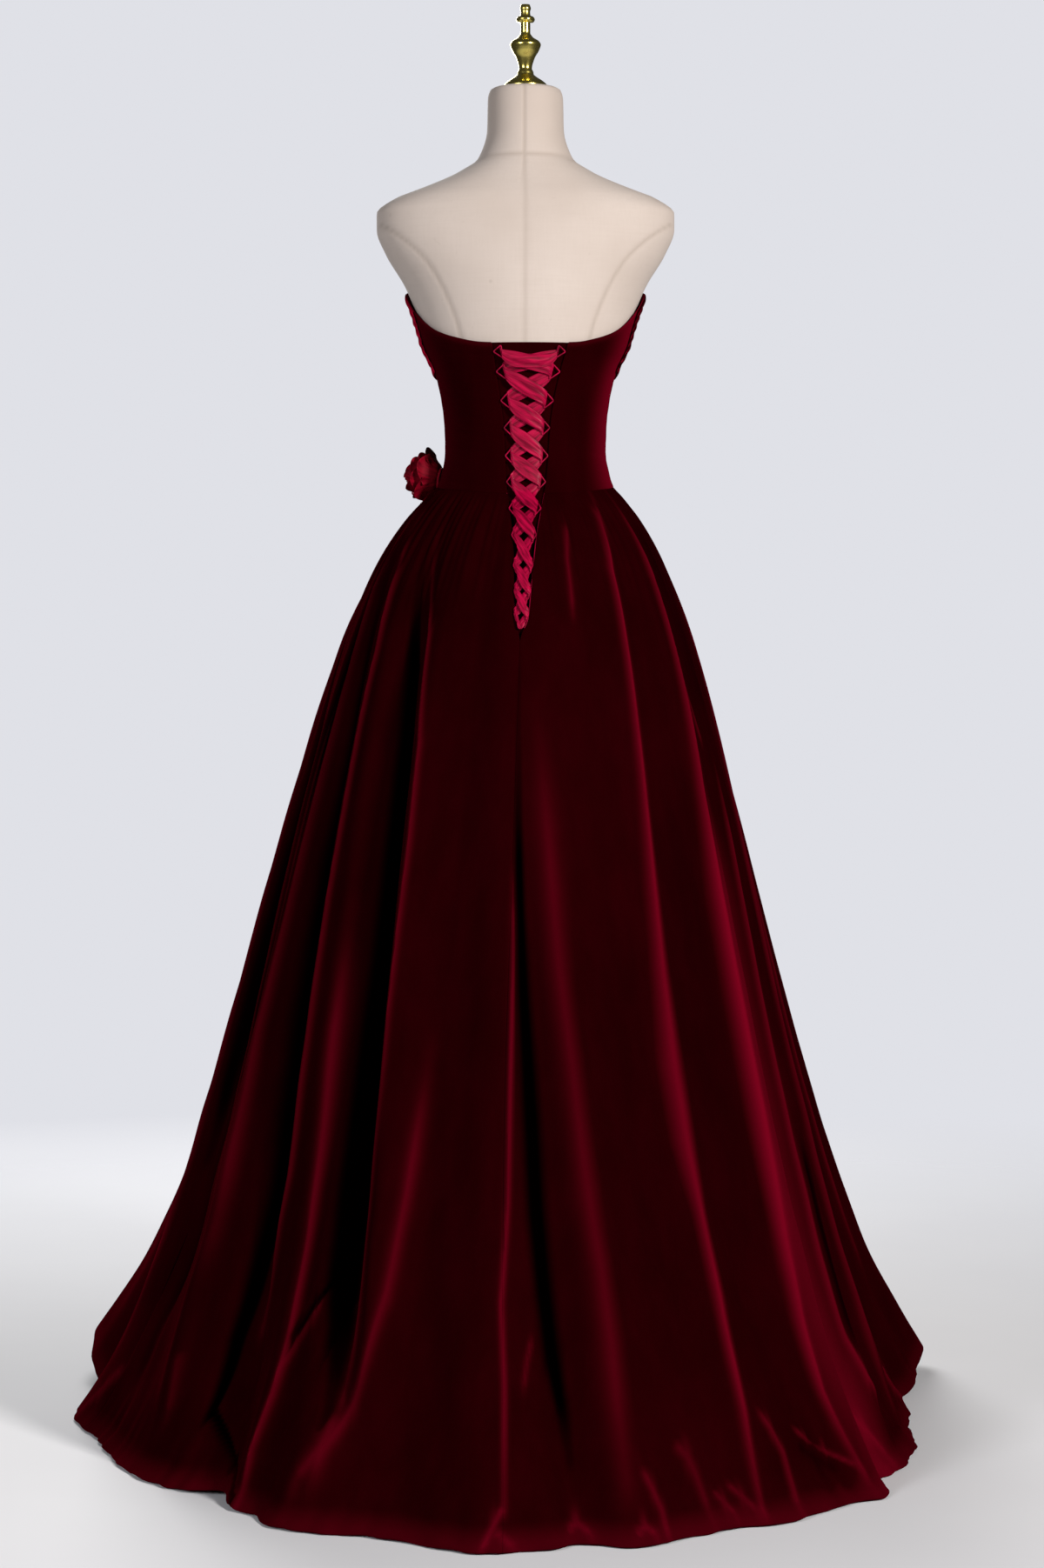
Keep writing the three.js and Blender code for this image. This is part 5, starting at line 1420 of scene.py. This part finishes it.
@dataclass
class Lacing:
    """The piping and loops down both edges, and the satin ribbon crossed through them."""

    # Lifts off the form: under a loop's bar, at it, over it, and the strip across the top.
    under: float = 4.9
    bar: float = 6.9
    over: float = 8.9
    top: float = 10.5
    cord: float = 0.8
    inset: float = 0.9
    thick: float = 0.55
    slip: float = 4.5
    strip_up: float = 1364.0
    strip_rise: float = 8.0
    strip_half: tuple[float, float] = (8.6, 4.5)
    piping_top: float = 1386.0
    piping_out: float = 0.6
    piping_lift: float = 3.5
    piping_cord: float = 0.55
    widest: float = 23.5
    bend: float = 0.9
    wave: float = 0.22
    gather: float = 0.34
    behind: Triple = (0.0, 0.0, 1200.0)
    # At each loop's bar: how far past it, the share of the turn, and how far the ribbon rises to the bar.
    turning: tuple[Triple, ...] = (
        (-1.6, 0.0, 0.0), (0.9, 0.2, 0.35), (1.75, 0.5, 1.0), (0.9, 0.8, 0.35), (-1.6, 1.0, 0.0),
    )
    loops: tuple[Loop, ...] = (
        Loop(1376, 10, 16), Loop(1351, 10.5, 19), Loop(1315, 10, 20), Loop(1281, 8.4, 19),
        Loop(1246, 7.6, 19), Loop(1213, 6.6, 18), Loop(1179, 5.4, 18), Loop(1145, 3.2, 17),
        Loop(1107, 1.8, 16), Loop(1075, 1.2, 16), Loop(1046, 0.8, 14),
    )

    def build(self, finishes: Wardrobe) -> None:
        """Builds both edges and the three stretches of ribbon."""
        for side, name in ((1, "lacing_edge_right"), (-1, "lacing_edge_left")):
            dress(self.edge(side, name + "_cord"), finishes.ribbon, Slot.RIBBON, name)
        for side, name in ((1, "lacing_ribbon_from_right"), (-1, "lacing_ribbon_from_left")):
            band = dress(self.crossing(side, name + "_satin"), finishes.ribbon, Slot.RIBBON, name)
        strip = dress(self.across_top(), finishes.ribbon, Slot.RIBBON, "lacing_ribbon_top")

    def bar_x(self, side: int, up: Places, reach: float) -> np.ndarray:
        """How far across a loop's bar lies."""
        return OPENING.edge(side, up, self.inset + reach)

    def edge(self, side: int, name: str) -> Object:
        """The piping down one edge with its three-cornered loops.

        Args:
            side: 1 towards -X, -1 towards +X.
            name: The piece's name.

        Returns:
            The piping and loops as one piece.
        """
        heights = np.linspace(self.piping_top, OPENING.tip + 14, 90)
        piping = OPENING.point(OPENING.edge(side, heights, -self.piping_out), heights, self.piping_lift)
        lines = [(piping, False, self.piping_cord)]
        for loop in self.loops:
            half = loop.tall / 2
            up = np.array([loop.up, loop.up + half, loop.up - half])
            inset = np.array([0.0, self.inset + loop.reach, self.inset + loop.reach])
            x = OPENING.middle.at(up) - side * (OPENING.half.at(up) - inset)
            flat = rounded(np.stack([x, up], -1), keep=0.84)
            lines.append((OPENING.point(flat[:, 0], flat[:, 1], self.bar), True, self.cord))
        return cord_mesh(name, lines)

    def crossing(self, first: int, name: str) -> Object:
        """One end of the ribbon on its way down through the loops.

        Args:
            first: The side it starts from, 1 towards -X.
            name: The piece's name.

        Returns:
            The ribbon.
        """
        stations: list[tuple[float, float, float, float, float]] = []
        for i, loop in enumerate(self.loops):
            side = first if i % 2 == 0 else -first
            x, half = float(self.bar_x(side, loop.up, loop.reach)), loop.tall / 2 - self.bend
            before, after = (self.over, self.under) if side > 0 else (self.under, self.over)
            for off, share, raised in self.turning if i else self.turning[2:]:
                flat = lerp(before, after, share)
                up = loop.up + self.slip * (1 - 2 * share)
                stations.append((x - side * off, up, float(lerp(flat, self.bar, raised)), half, 1.0))
            if i + 1 < len(self.loops):
                other = self.loops[i + 1]
                there, low = float(self.bar_x(-side, other.up, other.reach)), other.up
            else:
                there, low = float(OPENING.middle.at(OPENING.tip)) + side, OPENING.tip + 12
            full = 0.5 * min(self.widest, 0.72 * (loop.up - low) + 1)
            end_half = (self.loops[i + 1].tall / 2 - self.bend) if i + 1 < len(self.loops) else 2.0
            for share in np.linspace(0.08, 0.92, 9):
                swell = math.sin(math.pi * share) ** 0.9
                edge = float(lerp(half, end_half, share))
                up = float(lerp(loop.up - self.slip, low + self.slip, share))
                wide = edge + (full - edge) * swell if full > edge else full
                stations.append((float(lerp(x, there, share)), up, after, wide, 1 - swell))
        return self.band(name, np.array(stations), first)

    def band(self, name: str, stations: np.ndarray, seed: int) -> Object:
        """A ribbon through stations of place across, height, lift, half width and how far it is bunched.

        Args:
            name: The piece's name.
            stations: One row a station.
            seed: Which uneven wave its puckers follow.

        Returns:
            The ribbon.
        """
        across = np.linspace(-1, 1, 9)
        x, up, lift, half, bunched = (stations[:, k, None] for k in range(5))
        lean = (OPENING.edge(1, up + 4, 5) - OPENING.edge(1, up - 4, 5)) / 8
        lean = lean * np.sign(OPENING.middle.at(up) - x) * np.clip(bunched, 0, 1)
        phase = np.cumsum(np.hypot(np.diff(stations[:, 0], prepend=0), np.diff(stations[:, 1], prepend=0)))
        wave = self.wave * np.sin(across[None, :] * 7 + phase[:, None] * 0.13 + seed)
        gather = self.gather * bunched * np.sin(across[None, :] * 12 + seed)
        crown = 0.5 * (1 - across[None, :] ** 2) * (1 - bunched)
        lift = lift + wave + gather + 0.6 * crown
        points = OPENING.point(x + lean * half * across, up + half * across, lift)
        return self.finish_band(name, points, (0.02, 0.7))

    def finish_band(self, name: str, points: np.ndarray, size: tuple[float, float]) -> Object:
        """Makes a ribbon from its middle surface, gives it its thickness and smooths it."""
        obj = sheet_mesh(name, points, size, np.array(self.behind))
        apply_modifier(obj, "SOLIDIFY", thickness=self.thick * MM, offset=0.0, use_rim=True)
        apply_modifier(obj, "SUBSURF", levels=1, render_levels=1)
        only(obj)
        bpy.ops.object.shade_smooth()
        return obj

    def across_top(self) -> Object:
        """The strip across the top, with a long soft fold and narrow ends."""
        loop = self.loops[0]
        left = float(self.bar_x(-1, loop.up, loop.reach))
        right = float(self.bar_x(1, loop.up, loop.reach))
        share, across = grid(np.linspace(0, 1, 40), np.linspace(-1, 1, 11))
        end = np.abs(share - 0.5) * 2
        half = lerp(*self.strip_half, end**5)
        x = lerp(left, right, share)
        up = self.strip_up + self.strip_rise * end**4 + half * across
        fold = 0.5 * np.sin(across * 5 + share * 2.4) + 0.25 * np.sin(across * 11 - share * 5)
        points = OPENING.point(x, up, self.top + fold * (0.4 + 0.6 * (1 - end)))
        return self.finish_band("lacing_ribbon_top_satin", points, (0.02, 0.08))


# ---------------------------------------------------------------- the skirt


@dataclass
class Skirt:
    """The skirt's three panels."""

    side_seam: float = 92.0
    cloth: float = 1.8
    back_columns: int = 260
    front_columns: int = 200
    rows: int = 170
    gap: float = 0.02
    crowding: float = 0.06
    rolled: float = 2.2

    def build(self, finishes: Wardrobe) -> None:
        """Builds the panels as gathered cloth."""
        down = self.row_shares()
        for side, name in ((1, "skirt_back_right"), (-1, "skirt_back_left")):
            edge = SKIRT.edge(side, down)
            end = np.full_like(edge, side * (self.side_seam - self.gap))
            panel = self.panel(name + "_velvet", edge, end, self.back_columns)
            dress(panel, finishes.velvet, Slot.VELVET, name)
        start = np.full_like(down, self.side_seam + self.gap)
        end = np.full_like(down, 360 - self.side_seam - self.gap)
        front = self.panel("skirt_front_velvet", start, end, self.front_columns)
        dress(front, finishes.velvet, Slot.VELVET, "skirt_front")

    def row_shares(self) -> np.ndarray:
        """The rows' shares of the way down, closer together under the waist and at the hem."""
        t = np.linspace(0, 1, self.rows)
        return t - self.crowding * np.sin(2 * math.pi * t)

    def panel(self, name: str, start: np.ndarray, end: np.ndarray, columns: int) -> Object:
        """A panel between two edges.

        Args:
            name: The piece's name.
            start: Compass angle of its first edge at each row.
            end: Compass angle of its last edge at each row.
            columns: How many columns of faces.

        Returns:
            The panel.
        """
        down = self.row_shares()
        across = np.linspace(0, 1, columns + 1)
        angle = start[:, None] + (end - start)[:, None] * across
        shares = np.broadcast_to(down[:, None], angle.shape)
        points = SKIRT.point(angle, shares)
        # Both edges turn in a little, as a pressed seam does.
        reach = np.minimum(across, 1 - across)[None, :] * np.abs(end - start)[:, None]
        far = np.hypot(points[..., 0], points[..., 1])
        roll = hump(np.radians(reach) * far, self.rolled)
        inward = np.zeros_like(points)
        inward[..., :2] = -points[..., :2] / far[..., None]
        points = points + inward * (roll * smooth(shares, 0.02, 0.2))[..., None]
        obj = sheet_mesh(name, points, (1.0, 1.3))
        # Painted light: the creases' painted highlights and painted shade, and a painted highlight along the
        # hem, stronger at the back.
        painted_light = SKIRT.creased(angle, shares, SKIRT.plain_out(angle, shares))[1]
        painted_rim_highlight = smooth(shares, 0.976, 0.998) * (0.16 + 0.1 * smooth(np.cos(np.radians(angle)), -0.3, 0.4))
        paint(obj, "nap_and_painted_light", np.clip(painted_light + painted_rim_highlight, -1, 1))
        thicken(obj, self.cloth)
        return obj


# ---------------------------------------------------------------- the rose


@dataclass(frozen=True)
class Ring:
    """A ring of like petals.

    How many; the radius at the foot; the lip's radius and height as shares of the rose's; how far the lip
    curls out; and where the first petal starts, in degrees.
    """

    count: int
    foot: float
    lip: float
    reach: float
    curl: float
    shift: float


@dataclass
class Rose:
    """The rose at the waist: rings of satin petals round a rolled bud."""

    angle: float = -104.0
    height: float = 1221.0
    lean: float = 8.0
    stand_off: float = 1.6
    radius: float = 30.0
    depth: float = 54.0
    cloth: float = 0.9
    lap: float = 1.35
    seat_up: float = 3.0
    turns: float = 2.4
    rings: tuple[Ring, ...] = (
        Ring(6, 13.0, 0.98, 0.46, 9.0, 0.0), Ring(5, 12.0, 0.82, 0.62, 7.0, 25.0),
        Ring(4, 10.0, 0.62, 0.78, 5.0, 60.0), Ring(3, 8.0, 0.42, 0.9, 3.0, 10.0),
    )

    def build(self, finishes: Wardrobe) -> None:
        """Builds the rose."""
        parts = [self.bud(), self.seat()]
        for place, ring in enumerate(self.rings):
            for i in range(ring.count):
                start = ring.shift + 360 / ring.count * i
                parts.append(self.petal(ring, place * 10 + i, start))
        bloom = join("waist_rose_satin", parts)
        self.place(bloom)
        dress(bloom, finishes.rose, Slot.ROSE, "waist_rose")

    def petal(self, ring: Ring, seed: int, start: float) -> Object:
        """One petal: a patch of a cup round the rose's own axis with a curled, wavy lip.

        Args:
            ring: The ring that it belongs to.
            seed: Which uneven wave its lip follows.
            start: Angle of its first edge in degrees.

        Returns:
            The petal.
        """
        rng = np.random.default_rng(200 + seed)
        share, around = grid(14, 15)
        angle = np.radians(start + 360 / ring.count * self.lap * around)
        arch = 1 - 0.42 * (2 * around - 1) ** 2
        wave = 1.6 * np.sin(around * rng.uniform(5, 9) + rng.uniform(0, 6)) * share**2
        out = lerp(ring.foot, ring.lip * self.radius, share**0.6) + ring.curl * share**5 * arch + wave
        out = out + rng.uniform(-1.2, 1.2) - 1.8 * np.cos(math.pi * around)
        up = self.seat_up + self.depth * ring.reach * (share - 0.10 * share**6) * arch + 0.6 * wave
        points = np.stack([out * np.cos(angle), out * np.sin(angle), up], -1)
        return cloth(f"petal_{seed}", points, (0.04, 0.04), self.cloth)

    def bud(self) -> Object:
        """The rolled middle: a strip wound in a tight spiral."""
        share, along = grid(12, 90)
        angle = 2 * math.pi * self.turns * along
        out = lerp(2.0, 9.5, along) + 1.2 * share**3
        up = self.seat_up + (self.depth - 6) * share * lerp(1.0, 0.86, along)
        points = np.stack([out * np.cos(angle), out * np.sin(angle), up], -1)
        return cloth("petal_bud", points, (0.2, 0.04), self.cloth)

    def seat(self) -> Object:
        """The small round pad that the petals are sewn to."""
        bpy.ops.object.select_all(action="DESELECT")
        middle = (0, 0, 1.8 * MM)
        bpy.ops.mesh.primitive_cylinder_add(vertices=40, radius=16 * MM, depth=3 * MM, location=middle)
        obj = bpy.context.object
        bpy.ops.object.transform_apply(location=True, rotation=True, scale=True)
        apply_modifier(obj, "BEVEL", width=0.9 * MM, segments=3)
        return obj

    def place(self, bloom: Object) -> None:
        """Turns the rose to lean up and out from the form, and sets it on the bodice."""
        seat = FORM.point(self.angle, self.height, FORM.bodice_out + self.stand_off).reshape(3)
        outward = Vector((seat[0], seat[1], 0)).normalized()
        outward.z = math.tan(math.radians(self.lean))
        turning = Vector((0, 0, 1)).rotation_difference(outward.normalized()).to_matrix().to_4x4()
        turning.translation = Vector(seat * MM)
        bloom.data.transform(turning)
        bloom.data.update()


# ---------------------------------------------------------------- the studio


@dataclass
class Studio:
    """A pale floor, soft light from the wearer's right, and the camera behind the dress."""

    camera_far: float = 4.4
    camera_high: float = 0.989
    camera_across: float = 0.0044
    lens: float = 79.07
    shift: float = -0.0785
    aim: Triple = (0, 0, 0.95)
    fade_from: float = 0.9
    fade_to: float = 3.2

    def build(self) -> None:
        """Builds the studio."""
        self.floor()
        self.camera()
        self.light("key", (-2.7, 3.5, 2.3), 0.7, 240.0, (1.0, 0.97, 0.95))
        self.light("fill", (2.8, 3.7, 2.0), 1.4, 100.0, (0.95, 0.96, 1.0))
        self.light("front", (0.9, -3.8, 2.4), 2.0, 150.0, (1.0, 0.99, 0.98))
        self.world()
        bpy.context.scene.view_settings.view_transform = "Standard"

    def floor(self) -> None:
        """The floor, wide and pale."""
        bpy.ops.object.select_all(action="DESELECT")
        bpy.ops.mesh.primitive_plane_add(size=30, location=(0, 0, 0))
        floor = bpy.context.object
        floor.name = floor.data.name = "studio_floor"
        material, shade, shader = new_finish("pale_floor", {"Roughness": 0.7, "Specular IOR Level": 0.2})
        place = shade.object_place()
        away = shade.node("VectorMath", {0: place}, operation="LENGTH").outputs["Value"]
        fade = shade.node("MapRange", {
            "Value": away, "From Min": self.fade_from, "From Max": self.fade_to, "To Min": 1.0, "To Max": 0.0,
        })
        cloud = shade.noise(place, 2.0, 4.0)
        colour = shade.mix(cloud, (0.70, 0.70, 0.72, 1), (0.78, 0.78, 0.79, 1))
        shade.link(shader, {"Alpha": fade.outputs["Result"], "Base Color": colour})
        floor.data.materials.append(material)
        floor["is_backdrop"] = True

    def camera(self) -> None:
        """The camera, level, at the height of the wearer's waist."""
        data = bpy.data.cameras.new("camera")
        data.sensor_fit, data.sensor_height, data.sensor_width = "AUTO", 36.0, 36.0
        data.lens, data.shift_y = self.lens, self.shift
        data.clip_start, data.clip_end = 0.05, 100.0
        camera = bpy.data.objects.new("camera", data)
        camera.location = (self.camera_across, self.camera_far, self.camera_high)
        camera.rotation_euler = (math.radians(90), 0, math.radians(180))
        bpy.context.scene.collection.objects.link(camera)
        bpy.context.scene.camera = camera

    def light(self, name: str, place: Triple, size: float, power: float, colour: Triple) -> None:
        """A square soft light that points at the dress.

        Args:
            name: The light's name.
            place: Where it stands.
            size: Its side in metres.
            power: Its power in watts.
            colour: Its colour.
        """
        data = bpy.data.lights.new(name, "AREA")
        data.size, data.energy, data.color = size, power, colour
        lamp = bpy.data.objects.new(name, data)
        lamp.location = place
        lamp.rotation_euler = (Vector(self.aim) - Vector(place)).to_track_quat("-Z", "Y").to_euler()
        bpy.context.scene.collection.objects.link(lamp)

    def world(self) -> None:
        """A pale backdrop that lights the dress only a little."""
        world = bpy.data.worlds.new("studio")
        world.use_nodes = True
        bpy.context.scene.world = world
        tree = world.node_tree
        shade = Shade(tree)
        back = tree.nodes["Background"]
        seen = shade.node("LightPath").outputs["Is Camera Ray"]
        strength = shade.node("MapRange", {"Value": seen, "To Min": 0.05, "To Max": 0.80}).outputs["Result"]
        back.inputs["Color"].default_value = (0.93, 0.94, 1.0, 1)
        tree.links.new(strength, back.inputs["Strength"])


# ---------------------------------------------------------------- the whole


def corners() -> list[list[float]]:
    """The shown model's lowest and highest corners as plain numbers."""
    return [list(corner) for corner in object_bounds()]


def main() -> None:
    """Builds every piece in order."""
    logging.basicConfig(level=logging.INFO, format="%(message)s")
    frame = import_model()
    finishes = Wardrobe()
    DressForm().build(finishes, frame["nodes"])
    Bodice().build(finishes)
    Lacing().build(finishes)
    Skirt().build(finishes)
    Rose().build(finishes)
    Studio().build()


if __name__ == "__main__":
    main()
